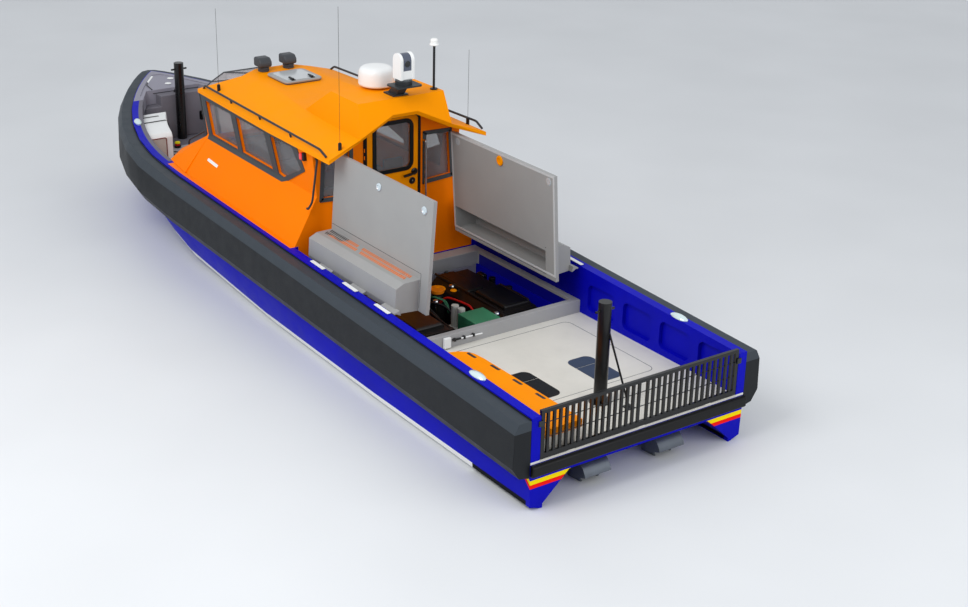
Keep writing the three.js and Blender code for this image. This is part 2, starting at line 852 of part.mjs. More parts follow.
function sideGlassPort() {
  const inset = WALL + GAP;
  const [low, high] = [1725, 2245];
  const rings = [4990, 7590].map((x) => [
    [x, wallY(x, low) - inset, low],
    [x, wallY(x, high) - inset, high],
    [x, wallY(x, high) - inset - 8, high],
    [x, wallY(x, low) - inset - 8, low],
  ]);
  return loft(rings);
}

function aftGlassPort() {
  const { inner, outer, low, top } = AFT_WINDOW;
  return box(BULKHEAD_X + WALL + GAP, BULKHEAD_X + WALL + 8, inner - 20, outer + 10, low - 15, top + 20);
}

// The windscreen: three facets standing on the nose, with a sloping glass head up to the roof's edge.
// Each row runs across the port half: outer, knuckle and inner points of x y z.
const SCREEN_ROWS = [
  [7665, 925, 1685, 7900, 640, 1550, 8080, 300, 1445],
  [7720, 975, 2262, 8060, 640, 2290, 8377, 293, 2300],
  [7690, 950, 2285, 7480, 490, 2445, 7560, 255, 2468],
];
const SCREEN_GLASS = 10;
const SCREEN_CENTRE = [6500, 0, 1900];

function screenRow([ax, ay, az, bx, by, bz, cx, cy, cz]) {
  return acrossBoat([
    [ax, ay, az],
    [bx, by, bz],
    [cx, cy, cz],
  ]);
}

function towardsCentre([x, y, z], depth) {
  const [cx, cy, cz] = SCREEN_CENTRE;
  const length = Math.hypot(cx - x, cy - y, cz - z);
  return [
    x + ((cx - x) * depth) / length,
    y + ((cy - y) * depth) / length,
    z + ((cz - z) * depth) / length,
  ];
}

// A sheet over a grid of points, as thick as the step from `from` to `to` towards the centre.
function screenSheet(rows, from, to) {
  const moved = (depth) => rows.map((row) => row.map((p) => towardsCentre(p, depth)));
  return sheetBetween(moved(from), moved(to));
}

// The windscreen's pieces stand on the nose and end under the roof.
function screenTrim() {
  const nose = NOSE_ROWS.map(([x, baseHalf, kneeHalf, kneeZ]) => {
    const top = kneeZ + GAP;
    return [
      [x, -baseHalf, 1000],
      [x, baseHalf, 1000],
      [x, baseHalf, lipTop(x)],
      [x, kneeHalf + GAP, top],
      [x, -kneeHalf - GAP, top],
      [x, -baseHalf, lipTop(x)],
    ];
  });
  return union([loft(nose), roofCut(), box(7000, 7640 + GAP, -1100, 1100, 1000, 2500)]);
}

function glassFront() {
  return screenSheet(SCREEN_ROWS.map(screenRow), 0, SCREEN_GLASS).subtract(screenTrim());
}

// Bars behind the glass along the facets' edges.
function screenFrame() {
  const rows = SCREEN_ROWS.map(screenRow).map((row) => row.map((p) => towardsCentre(p, 34)));
  const pieces = [];
  const radius = 20;
  const bar = (a, b) => pieces.push(rod(a, b, radius, radius, 8));
  for (const row of rows) {
    for (let j = 0; j + 1 < row.length; j++) bar(row[j], row[j + 1]);
    for (const p of row) pieces.push(ball(p, radius, 8));
  }
  for (let j = 0; j < rows[0].length; j++) {
    for (let i = 0; i + 1 < rows.length; i++) bar(rows[i][j], rows[i + 1][j]);
  }
  const outside = screenSheet(SCREEN_ROWS.map(screenRow), -300, SCREEN_GLASS + GAP);
  return union(pieces).subtract(union([outside, screenTrim()]));
}

// Cabin fittings seen through the glass

function console_() {
  return prism("xz", [
    [7250, CABIN_FLOOR + GAP],
    [7800, CABIN_FLOOR + GAP],
    [7800, 1560],
    [7520, 1560],
    [7300, 1380],
    [7250, 1200],
  ], -850, 850);
}

function seatPair(x) {
  const pieces = [box(x - 60, x + 330, -700, 700, CABIN_FLOOR + GAP, CABIN_FLOOR + 60)];
  for (const y of [-430, 430]) {
    pieces.push(
      box(x + 60, x + 260, y - 110, y + 110, CABIN_FLOOR + 40, 1010),
      prism("yz", roundRect(y - 250, y + 250, 1000, 1120, 45, 3), x - 60, x + 400),
      prism("yz", roundRect(y - 240, y + 240, 1060, 1830, 90, 3), x - 110, x + 10),
    );
  }
  return union(pieces);
}

// Roof gear

const RADAR = { x: 4980, y: 5 };
const TURRET = { x: 4428, y: -20, foot: 3060 };

// A solid stood on the roof: its foot is trimmed to lie just above the roof's skin.
function onRoof(solid) {
  return solid.subtract(sheetBetween(roofSkin(GAP), roofSkin(-400)));
}

function radarDome() {
  return onRoof(turned(RADAR.x, RADAR.y, [
    [0, BLOCK_TOP - 100],
    [140, BLOCK_TOP - 100],
    [140, 2872],
    [198, 2876],
    [212, 2896],
    [208, 3050],
    [192, 3088],
    [150, 3110],
    [0, 3115],
  ], 28));
}

function turretBracket() {
  const { x, y, foot } = TURRET;
  return union([
    box(4480, 4700, -118, 83, BLOCK_TOP + GAP, BLOCK_TOP + 18),
    prism("xz", [[4500, BLOCK_TOP + 15], [4685, BLOCK_TOP + 15], [4530, 3005], [4390, 3005]], -75, 35),
    prism("xy", roundRect(4275, 4530, -190, 160, 40, 3), 3000, 3018),
    turned(x, y, [[0, 3010], [100, 3010], [100, foot], [0, foot]], 20),
  ]);
}

// An arch of two cheeks with a slightly smaller drum between them.
function cameraTurret() {
  const { x, y, foot } = TURRET;
  const centreZ = foot + 237;
  const arch = (radius, halfWidth) => {
    const outline = [[x + radius, foot + 22], [x - radius, foot + 22]];
    for (let i = 0; i <= 12; i++) {
      const angle = (Math.PI * (12 - i)) / 12;
      outline.push([x + radius * Math.cos(angle), centreZ + radius * Math.sin(angle)]);
    }
    return prism("xz", outline, y - halfWidth, y + halfWidth);
  };
  const cheeks = arch(88, 92).subtract(prism("xz", [
    [x - 200, foot],
    [x + 200, foot],
    [x + 200, foot + 400],
    [x - 200, foot + 400],
  ], y - 64, y + 64));
  return union([
    turned(x, y, [[0, foot + GAP], [95, foot + GAP], [95, foot + 26], [0, foot + 26]], 20),
    cheeks,
    arch(80, 66),
  ]);
}

function lightPole() {
  const [x, y] = [4537, -512];
  return union([
    rod([x, y, BLOCK_TOP + 5], [x, y, 3400], 15, 15, 12),
    turned(x, y, [[0, 3390], [40, 3390], [45, 3412], [45, 3448], [32, 3463], [0, 3466]], 16),
    turned(x, y, [[0, BLOCK_TOP + GAP], [45, BLOCK_TOP + GAP], [45, BLOCK_TOP + 14], [0, BLOCK_TOP + 14]], 12),
  ]);
}

// A searchlight: a rounded head, cut back at its top behind, on a round foot
const SEARCHLIGHT = { x: 7450, y: 182, half: 90, low: 2572, top: 2694 };

function searchlight(x, y) {
  const { half, low, top } = SEARCHLIGHT;
  const back = prism("xz", [[x - 90, top - 55], [x - 90, top + 10], [x - 30, top + 10]], y - 100, y + 100);
  return onRoof(union([
    turned(x, y, [[0, 2460], [75, 2460], [75, 2562], [60, 2576], [0, 2576]], 20),
    prism("yz", roundRect(y - half, y + half, low, top, 34, 4), x - 80, x + 108).subtract(back),
  ]));
}

// Whip aerials: x, y, the roof's z there, top z
const WHIPS = {
  whip_fore_port: [7362, 875, 2368, 3420],
  whip_aft_port: [4356, 880, 2392, 4020],
  whip_aft_starboard: [4600, -1055, 2333, 3250],
};

function whip([x, y, foot, top]) {
  return onRoof(union([
    rod([x, y, foot - 20], [x, y, foot + 90], 24, 24, 12),
    rod([x, y, foot + 80], [x, y, top], 6, 4, 8),
  ]));
}

// Roof hatch: its ends, half-width, and the heights of its frame's foot, its seat and its top
const HATCH = { aft: 6690, fore: 7230, half: 270, under: 2450, seat: 2518, top: 2548 };

function roofHatch() {
  const { aft, fore, half, seat, top } = HATCH;
  return prism("xy", roundRect(aft, fore, -half, half, 70, 4), seat + GAP, top);
}

// The hatch's outline moved in by `inset`.
function hatchOutline(inset) {
  const { aft, fore, half } = HATCH;
  return roundRect(aft + inset, fore - Math.max(0, inset - 15), inset - half, half - inset, 60 - inset / 2, 4);
}

// The frame that lines the way through the roof, on which the hatch closes.
function hatchFrame() {
  const { under, seat } = HATCH;
  return prism("xy", hatchOutline(15 + GAP), under, seat)
    .subtract(prism("xy", hatchOutline(55), under - 50, seat + 50));
}

// Bow fittings

function boundedWell(low, high) {
  return prism("xy", bothSides(railInset(FORE_WELL.inset + GAP, FORE_WELL.aft + 1, FORE_WELL.fore - GAP)),
    low, high);
}

function bowLocker() {
  const floor = FORE_FLOOR + GAP;
  const back = FORE_POST.x + POST_RADIUS + 10;
  return union([
    box(back, FORE_WELL.fore - GAP, -900, 270, floor, LOCKER_TOP),
    box(back, FORE_WELL.fore - GAP, 250, 900, floor, 1300),
  ]).intersect(boundedWell(floor, 1600));
}

// A moulded pod along the well's side
const POD = { aft: 9150, fore: 10240, reach: 520, top: 1340 };

function bowPodPort() {
  const floor = FORE_FLOOR + GAP;
  const { aft, fore, reach, top } = POD;
  const side = prism("xz", [
    [aft, floor],
    [aft, top - 60],
    [aft + 55, top - 8],
    [fore - 120, top],
    [fore, top - 110],
    [fore, floor],
  ], 200, 1300);
  const middle = prism("xy", bothSides(railInset(reach, aft - 200, fore + 200)), 700, 1500);
  return side.intersect(boundedWell(floor, 1600)).subtract(middle);
}

// Waterjets
const JET = { y: 490, z: 60, pivot: 340, tilt: 250 };

function jetRod(x0, x1, r0, r1, sides = 24) {
  return rod([x0, JET.y, JET.z], [x1, JET.y, JET.z], r0, r1, sides);
}

function jetDuctPort() {
  const { y, z } = JET;
  const lugs = [-1, 1].map((side) => {
    const low = Math.min(side * 156, side * 178);
    return box(315, 500, y - 26, y + 26, z + low, z + low + 22);
  });
  return union([
    jetRod(RECESS.depth - GAP, 470, 205, 190),
    jetRod(480, 372, 95, 95),
    ...lugs,
  ]);
}

function jetNozzlePort() {
  const { y, z } = JET;
  const tube = jetRod(365, 190, 150, 132).subtract(jetRod(370, 185, 130, 112));
  const pins = [
    rod([JET.pivot, y, z + 140], [JET.pivot, y, z + 156 - GAP], 18, 18, 12),
    rod([JET.pivot, y, z - 156 + GAP], [JET.pivot, y, z - 140], 18, 18, 12),
    rod([JET.tilt, y + 128, z], [JET.tilt, y + 156 - GAP, z], 16, 16, 12),
    rod([JET.tilt, y - 156 + GAP, z], [JET.tilt, y - 128, z], 16, 16, 12),
  ];
  return union([tube, ...pins]);
}

function bucketPort() {
  const { y, z, tilt } = JET;
  const arc = (radius, from, to) => {
    const points = [];
    for (let i = 0; i <= 8; i++) {
      const angle = THREE.MathUtils.degToRad(from + ((to - from) * i) / 8);
      points.push([tilt - radius * Math.cos(angle), z + radius * Math.sin(angle)]);
    }
    return points;
  };
  const visor = prism("xz", [...arc(185, 15, 95), ...arc(201, 95, 15)], y - 168, y + 168);
  const cheek = [[tilt + 30, z - 30], ...arc(201, 15, 95), [tilt + 30, z + 60]];
  return union([
    visor,
    prism("xz", cheek, y + 156, y + 168),
    prism("xz", cheek, y - 168, y - 156),
  ]);
}

// The part: name, finish, solid
const PIECES = [
  ["hull", "blue", hull()],
  ["collar_port", "foam", collarPort()],
  ["collar_starboard", "foam", mirrored(collarPort())],
  ["aft_deck", "deckGrey", aftDeck()],
  ["side_bench", "deckGrey", sideBench()],
  ["rescue_board", "orange", rescueBoard()],
  ["bay_coaming", "lidGrey", coaming()],
  ["stern_gate", "black", sternGate()],
  ["stern_fender", "rubber", sternFender()],
  ["tow_post_aft", "black", towPostAft()],
  ["tow_post_fore", "black", towPostFore()],
  ["engine_port", "darkGrey", engineBlock()],
  ["engine_starboard", "darkGrey", mirrored(engineBlock())],
  ["cooling_tank", "orange", coolingTank()],
  ["gear_casing", "green", gearCasing()],
  ["fuel_filters", "white", filterPair()],
  ["lid_port", "lidGrey", lidPort()],
  ["lid_starboard", "lidGrey", mirrored(lidPort())],
  ["wheelhouse", "orange", wheelhouse()],
  ["roof", "orange", roof()],
  ["door", "orange", door()],
  ["door_glass", "glass", doorGlass()],
  ["side_glass_port", "glass", sideGlassPort()],
  ["side_glass_starboard", "glass", mirrored(sideGlassPort())],
  ["aft_glass_port", "glass", aftGlassPort()],
  ["aft_glass_starboard", "glass", mirrored(aftGlassPort())],
  ["screen_glass", "glass", glassFront()],
  ["screen_frame", "frameGrey", screenFrame()],
  ["console", "darkGrey", console_()],
  ["seats_fore", "seat", seatPair(6550)],
  ["seats_aft", "seat", seatPair(5350)],
  ["radar_dome", "white", radarDome()],
  ["turret_bracket", "darkGrey", turretBracket()],
  ["camera_turret", "white", cameraTurret()],
  ["light_pole", "darkGrey", lightPole()],
  ["searchlight_port", "darkGrey", searchlight(SEARCHLIGHT.x, SEARCHLIGHT.y)],
  ["searchlight_starboard", "darkGrey", searchlight(SEARCHLIGHT.x, -SEARCHLIGHT.y)],
  ["roof_hatch", "lidGrey", roofHatch()],
  ["hatch_frame", "lidGrey", hatchFrame()],
  ["bow_locker", "foreGrey", bowLocker()],
  ["bow_pod_port", "white", bowPodPort()],
  ["bow_pod_starboard", "white", mirrored(bowPodPort())],
  ["jet_duct_port", "darkGrey", jetDuctPort()],
  ["jet_duct_starboard", "darkGrey", mirrored(jetDuctPort())],
  ["jet_nozzle_port", "darkGrey", jetNozzlePort()],
  ["jet_nozzle_starboard", "darkGrey", mirrored(jetNozzlePort())],
  ["bucket_port", "darkGrey", bucketPort()],
  ["bucket_starboard", "darkGrey", mirrored(bucketPort())],
];

function finishOf(name) {
  const [color, roughness, metalness] = FINISH[name];
  return new THREE.MeshStandardMaterial({ color, roughness, metalness });
}

const boat = new THREE.Group();
boat.position.x = -MIDSHIP;
for (const [name, finish, solid] of PIECES) {
  const mesh = new THREE.Mesh(toGeometry(solid), finishOf(finish));
  mesh.name = name;
  boat.add(mesh);
}
for (const [name, row] of Object.entries(CLEATS)) {
  const mesh = new THREE.Mesh(toGeometry(cleat(row)), finishOf("steel"));
  mesh.name = name;
  boat.add(mesh);
}
for (const [name, row] of Object.entries(WHIPS)) {
  const mesh = new THREE.Mesh(toGeometry(whip(row)), finishOf("black"));
  mesh.name = name;
  boat.add(mesh);
}

const part = new THREE.Group();
part.add(boat);
export default part;
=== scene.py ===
"""Looks of the inshore rescue boat: finishes, softened mouldings, trim, deck gear and the studio."""

import json
import logging
import math
from dataclasses import dataclass, field
from enum import Enum
from typing import Callable, Iterator, Optional, Sequence, Union

import bmesh
import bpy
from mathutils import Matrix, Vector

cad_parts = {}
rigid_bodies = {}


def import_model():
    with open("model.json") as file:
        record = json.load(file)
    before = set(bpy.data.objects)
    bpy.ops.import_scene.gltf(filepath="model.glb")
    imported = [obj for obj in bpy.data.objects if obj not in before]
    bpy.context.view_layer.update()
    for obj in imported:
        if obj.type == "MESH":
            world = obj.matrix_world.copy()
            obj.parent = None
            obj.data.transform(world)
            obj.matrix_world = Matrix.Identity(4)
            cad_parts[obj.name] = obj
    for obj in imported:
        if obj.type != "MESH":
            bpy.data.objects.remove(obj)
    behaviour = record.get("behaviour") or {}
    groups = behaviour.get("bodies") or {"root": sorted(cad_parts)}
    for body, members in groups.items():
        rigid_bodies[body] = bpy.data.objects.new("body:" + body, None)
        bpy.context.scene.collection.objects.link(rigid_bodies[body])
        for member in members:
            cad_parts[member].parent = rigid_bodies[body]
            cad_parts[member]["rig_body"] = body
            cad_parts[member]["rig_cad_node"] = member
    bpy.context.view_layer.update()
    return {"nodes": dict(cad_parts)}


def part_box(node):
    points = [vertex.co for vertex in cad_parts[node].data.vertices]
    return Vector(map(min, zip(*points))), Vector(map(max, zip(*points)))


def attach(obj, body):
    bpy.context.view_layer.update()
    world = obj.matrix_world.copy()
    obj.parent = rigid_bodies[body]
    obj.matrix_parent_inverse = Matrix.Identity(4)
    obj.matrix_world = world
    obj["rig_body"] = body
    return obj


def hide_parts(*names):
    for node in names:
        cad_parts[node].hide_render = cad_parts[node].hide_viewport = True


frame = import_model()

LOG = logging.getLogger("rescue_boat")

MM = 0.001
STERN_X = -5.8
RAIL_HALF = 1.4
BOW_START_X = 2.2
BOW_LENGTH = 3.42
BOW_POWER = 0.92
RAIL_ROWS = (
    (-5.8, 0.985), (-3.2, 1.078), (-0.6, 1.165), (1.8, 1.25), (3.2, 1.34), (4.3, 1.436), (5.62, 1.575),
)
MERGE_REACH = 0.02 * MM
NEARLY_ONE = 0.99

Object = bpy.types.Object
Socket = bpy.types.NodeSocket
Material = bpy.types.Material
EdgeTest = Callable[[bmesh.types.BMEdge], bool]


class Side(Enum):
    """The two sides of the boat, by the sign of y."""

    PORT = 1
    STARBOARD = -1

    @property
    def word(self) -> str:
        """The side's name as it ends a piece's name."""
        return self.name.lower()


class Body(str, Enum):
    """The moving bodies that pieces ride on."""

    BOAT = "boat"
    DOOR = "cabin_door"
    LID_PORT = "bay_lid_port"
    LID_STARBOARD = "bay_lid_starboard"
    HATCH = "hatch"
    GATE = "gate"


def at(x: float, y: float, z: float) -> Vector:
    """A point from its millimetres.

    Args:
        x: Forward from the stern gate.
        y: To port from the centreline.
        z: Up from the waterline.

    Returns:
        The point in metres from the waterline amidships.
    """
    return Vector((STERN_X + x * MM, y * MM, z * MM))


def flipped(point: Vector) -> Vector:
    """The same point on the other side of the centreline."""
    return Vector((point.x, -point.y, point.z))


# Shaping


def settle() -> None:
    """Leave edit mode and deselect everything."""
    if bpy.context.object and bpy.context.object.mode != "OBJECT":
        bpy.ops.object.mode_set(mode="OBJECT")
    bpy.ops.object.select_all(action="DESELECT")


def activate(piece: Object) -> Object:
    """Make a piece the only selected one.

    Args:
        piece: The piece to work on.

    Returns:
        The same piece.
    """
    settle()
    piece.select_set(True)
    bpy.context.view_layer.objects.active = piece
    return piece


def named(name: str) -> Object:
    """Give the newest primitive its name, and put its place into its mesh.

    Args:
        name: The piece's name.

    Returns:
        The piece.
    """
    piece = bpy.context.object
    piece.name = name
    piece.data.name = name
    bpy.ops.object.transform_apply(location=True, rotation=True, scale=True)
    return piece


def open_mesh(piece: Object, mode: str = "FACE") -> bmesh.types.BMesh:
    """Enter edit mode on a piece with nothing selected.

    Args:
        piece: The piece to edit.
        mode: What is selected in the mesh: VERT, EDGE or FACE.

    Returns:
        The mesh being edited, to select in.
    """
    activate(piece)
    bpy.ops.object.mode_set(mode="EDIT")
    bpy.ops.mesh.select_mode(type=mode)
    bpy.ops.mesh.select_all(action="DESELECT")
    return bmesh.from_edit_mesh(piece.data)


def pick_edges(piece: Object, test: EdgeTest) -> None:
    """Enter edit mode with the edges that pass a test selected."""
    mesh = open_mesh(piece, "EDGE")
    for edge in mesh.edges:
        edge.select_set(test(edge))
    bmesh.update_edit_mesh(piece.data)


def is_corner(edge: bmesh.types.BMEdge, degrees: float = 30) -> bool:
    """Whether an edge is a corner of its solid sharper than some degrees."""
    return len(edge.link_faces) == 2 and edge.calc_face_angle(0) > math.radians(degrees)


def runs_along(axis: int) -> EdgeTest:
    """A test for the edges that run along one axis.

    Args:
        axis: The axis, 0 for x, 1 for y or 2 for z.

    Returns:
        The test.
    """

    def test(edge: bmesh.types.BMEdge) -> bool:
        """Whether an edge runs along the axis."""
        a, b = (vertex.co for vertex in edge.verts)
        return abs((b - a).normalized()[axis]) > NEARLY_ONE

    return test


def merged(piece: Object, reach: float = MERGE_REACH) -> Object:
    """Merge a piece's doubled points and turn its faces outwards.

    Args:
        piece: The piece.
        reach: How far apart doubled points may be.

    Returns:
        The same piece.
    """
    open_mesh(piece, "VERT")
    bpy.ops.mesh.select_all(action="SELECT")
    bpy.ops.mesh.remove_doubles(threshold=reach)
    bpy.ops.mesh.normals_make_consistent(inside=False)
    bpy.ops.object.mode_set(mode="OBJECT")
    return piece


def modified(piece: Object, kind: str, **settings: object) -> Object:
    """Add one modifier to a piece and apply it.

    Args:
        piece: The piece.
        kind: The modifier's type.
        settings: What the modifier is set to.

    Returns:
        The same piece.
    """
    activate(piece)
    modifier = piece.modifiers.new(kind.lower(), kind)
    for key, value in settings.items():
        setattr(modifier, key, value)
    bpy.ops.object.modifier_apply(modifier=modifier.name)
    return piece


def rounded(piece: Object, width: float, segments: int = 2, degrees: float = 30) -> Object:
    """Round the corners of a piece by its edges' angle.

    Args:
        piece: The piece.
        width: The width of the rounding.
        segments: How many strips the rounding has.
        degrees: The angle past which an edge is a corner.

    Returns:
        The same piece.
    """
    return modified(
        piece, "BEVEL", width=width, segments=segments, limit_method="ANGLE",
        angle_limit=math.radians(degrees), use_clamp_overlap=True, miter_outer="MITER_ARC",
    )


def rounded_where(piece: Object, width: float, segments: int, test: EdgeTest) -> Object:
    """Round the edges of a piece that pass a test.

    Args:
        piece: The piece.
        width: The width of the rounding.
        segments: How many strips the rounding has.
        test: Which edges to round.

    Returns:
        The same piece.
    """
    pick_edges(piece, test)
    bpy.ops.mesh.bevel(offset=width, segments=segments, affect="EDGES", clamp_overlap=True)
    bpy.ops.object.mode_set(mode="OBJECT")
    return piece


def block(name: str, low: Vector, high: Vector) -> Object:
    """A box between two corners, to be shaped further.

    Args:
        name: The piece's name.
        low: One corner.
        high: The opposite corner.

    Returns:
        The box.
    """
    settle()
    size = [abs(b - a) for a, b in zip(low, high)]
    bpy.ops.mesh.primitive_cube_add(size=1, location=(low + high) / 2, scale=size)
    return named(name)


def soft_block(name: str, low: Vector, high: Vector, radius: float, segments: int = 3) -> Object:
    """A box with all its edges rounded."""
    return rounded_where(block(name, low, high), radius, segments, is_corner)


def bar(name: str, start: Vector, end: Vector, radius: float, sides: int = 24,
        lip: float = 0.0) -> Object:
    """A round bar between two points, its end rims rounded.

    Args:
        name: The piece's name.
        start: The middle of one end.
        end: The middle of the other end.
        radius: The bar's radius.
        sides: How many sides it has.
        lip: The rounding of its rims.

    Returns:
        The bar.
    """
    settle()
    along = end - start
    turn = along.to_track_quat("Z", "Y").to_euler()
    bpy.ops.mesh.primitive_cylinder_add(
        vertices=sides, radius=radius, depth=along.length, location=(start + end) / 2, rotation=turn
    )
    piece = named(name)
    if lip:
        rounded_where(piece, lip, 2, lambda edge: is_corner(edge, 60))
    return piece


def turned(name: str, foot: Vector, profile: Sequence[tuple[float, float]], sides: int = 40,
           axis: Vector = Vector((0, 0, 1))) -> Object:
    """A turned piece, drawn up ring by ring from a disc.

    Args:
        name: The piece's name.
        foot: Where the profile's zero height lies.
        profile: Pairs of radius and height, in metres, the first radius above zero.
        sides: How many sides it has.
        axis: The direction that its height runs in.

    Returns:
        The piece.
    """
    settle()
    radius, height = profile[0]
    bpy.ops.mesh.primitive_circle_add(
        vertices=sides, radius=radius, location=(0, 0, height), fill_type="NGON"
    )
    piece = named(name)
    open_mesh(piece)
    bpy.ops.mesh.select_all(action="SELECT")
    for next_radius, next_height in profile[1:]:
        bpy.ops.mesh.extrude_region_move(TRANSFORM_OT_translate={"value": (0, 0, next_height - height)})
        share = max(next_radius, 1e-6) / radius
        bpy.ops.transform.resize(value=(share, share, 1), center_override=(0, 0, next_height))
        radius, height = max(next_radius, 1e-6), next_height
    bpy.ops.object.mode_set(mode="OBJECT")
    piece.matrix_world = Matrix.Translation(foot) @ axis.to_track_quat("Z", "Y").to_matrix().to_4x4()
    activate(piece)
    bpy.ops.object.transform_apply(location=True, rotation=True, scale=True)
    return merged(piece, 0.05 * MM)


def plate(name: str, outline: Sequence[Vector], lift: Vector, corner: float = 0.0,
          hollow: float = 0.0, edge: float = 0.0) -> Object:
    """A flat plate or, with a hollow middle, a flat frame.

    Args:
        name: The piece's name.
        outline: Its corners in one plane, in order.
        lift: The step from its back to its face.
        corner: The rounding of its outline's corners.
        hollow: The width of the frame left when the middle is taken out.
        edge: The rounding of its face's edges.

    Returns:
        The plate.
    """
    settle()
    bpy.ops.mesh.primitive_circle_add(vertices=len(outline), radius=1, fill_type="NGON")
    piece = named(name)
    for vertex, point in zip(piece.data.vertices, outline):
        vertex.co = point
    open_mesh(piece)
    bpy.ops.mesh.select_all(action="SELECT")
    if corner:
        bpy.ops.mesh.bevel(offset=corner, segments=5, affect="VERTICES")
        bpy.ops.mesh.select_all(action="SELECT")
    if hollow:
        bpy.ops.mesh.inset(thickness=hollow)
        bpy.ops.mesh.delete(type="FACE")
        bpy.ops.mesh.select_all(action="SELECT")
    bpy.ops.mesh.extrude_region_move(TRANSFORM_OT_translate={"value": lift})
    bpy.ops.object.mode_set(mode="OBJECT")
    merged(piece)
    if edge:
        rounded_where(piece, edge, 2, lambda e: is_corner(e, 60))
    return piece


def rectangle(x0: float, x1: float, y0: float, y1: float, z: float) -> list[Vector]:
    """The corners of a level rectangle, in order, from its limits in millimetres."""
    return [at(x0, y0, z), at(x1, y0, z), at(x1, y1, z), at(x0, y1, z)]


def with_bends(route: Sequence[Vector], bend: float, steps: int = 5) -> list[Vector]:
    """A route with its corners rounded.

    Args:
        route: The route's points.
        bend: How far from a corner its bend starts.
        steps: How many points each bend gets.

    Returns:
        The points of the rounded route.
    """
    points = [route[0]]
    for before, here, after in zip(route, route[1:], route[2:]):
        reach = min(bend, (here - before).length * 0.45, (after - here).length * 0.45)
        start = here + (before - here).normalized() * reach
        end = here + (after - here).normalized() * reach
        for i in range(steps + 1):
            t = i / steps
            points.append(start.lerp(here, t).lerp(here.lerp(end, t), t))
    points.append(route[-1])
    return points


def pipe(name: str, route: Sequence[Vector], radius: float, bend: float = 0.0, detail: int = 3) -> Object:
    """A closed round tube along a route.

    Args:
        name: The piece's name.
        route: The points that it follows.
        radius: The tube's radius.
        bend: How far from a corner its bend starts.
        detail: Blender's bevel resolution for the tube's section.

    Returns:
        The tube as a mesh.
    """
    settle()
    points = with_bends(route, bend) if bend else list(route)
    bpy.ops.curve.primitive_nurbs_path_add()
    curve = bpy.context.object.data
    curve.splines.clear()
    spline = curve.splines.new("POLY")
    spline.points.add(len(points) - 1)
    for slot, point in zip(spline.points, points):
        slot.co = (*point, 1)
    curve.bevel_depth = radius
    curve.bevel_resolution = detail
    curve.use_fill_caps = True
    bpy.ops.object.convert(target="MESH")
    return merged(named(name))


def joined(name: str, pieces: Sequence[Object]) -> Object:
    """Several pieces made one.

    Args:
        name: The new piece's name.
        pieces: What it is made of.

    Returns:
        The joined piece.
    """
    activate(pieces[0])
    for piece in pieces:
        piece.select_set(True)
    if len(pieces) > 1:
        bpy.ops.object.join()
    pieces[0].name = name
    pieces[0].data.name = name
    return pieces[0]


def row_of(piece: Object, count: int, step: Vector) -> Object:
    """A piece repeated along a straight row as one mesh."""
    return modified(piece, "ARRAY", count=count, use_relative_offset=False,
                    use_constant_offset=True, constant_offset_displace=step)


def twin(piece: Object, name: str) -> Object:
    """The mirror image of a piece across the centreline.

    Args:
        piece: The piece on one side.
        name: The other piece's name.

    Returns:
        The piece on the other side, with its own mesh.
    """
    activate(piece)
    bpy.ops.object.duplicate()
    other = bpy.context.object
    other.scale = (1, -1, 1)
    bpy.ops.object.transform_apply(location=True, rotation=True, scale=True)
    other.name = name
    other.data.name = name
    return merged(other)


def carved(piece: Object, cutter: Object) -> Object:
    """Cut one piece's shape out of another, and drop the cutter.

    Args:
        piece: The piece that keeps its name.
        cutter: The shape that is taken out.

    Returns:
        The cut piece.
    """
    modified(piece, "BOOLEAN", object=cutter, operation="DIFFERENCE", solver="EXACT")
    bpy.data.objects.remove(cutter)
    return piece


def moulding(name: str, node: str) -> Object:
    """A copy of a CAD node with its triangles merged into whole faces.

    Args:
        name: The copy's name.
        node: The CAD node.

    Returns:
        The copy, free of the frame.
    """
    activate(frame["nodes"][node])
    bpy.ops.object.duplicate()
    piece = bpy.context.object
    piece.parent = None
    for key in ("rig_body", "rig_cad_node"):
        if key in piece:
            del piece[key]
    piece.name = name
    piece.data.name = name
    piece.data.materials.clear()
    bpy.ops.mesh.customdata_custom_splitnormals_clear()
    open_mesh(piece, "VERT")
    bpy.ops.mesh.select_all(action="SELECT")
    bpy.ops.mesh.remove_doubles(threshold=MERGE_REACH)
    bpy.ops.mesh.dissolve_limited(angle_limit=math.radians(0.4))
    bpy.ops.object.mode_set(mode="OBJECT")
    return piece


# Finishes


@dataclass(frozen=True)
class Colour:
    """A colour as it shows on a screen, each part from 0 to 255."""

    red: int
    green: int
    blue: int

    def light(self, share: float = 1.0) -> tuple[float, float, float, float]:
        """The colour as linear light.

        Args:
            share: What the light is multiplied by.

        Returns:
            Red, green, blue and an alpha of one.
        """
        parts = [part / 255 for part in (self.red, self.green, self.blue)]
        linear = [p / 12.92 if p <= 0.04045 else ((p + 0.055) / 1.055) ** 2.4 for p in parts]
        return (*(min(1.0, share * p) for p in linear), 1.0)


GRIME = Colour(70, 66, 60)
Number = Union[float, "Field"]


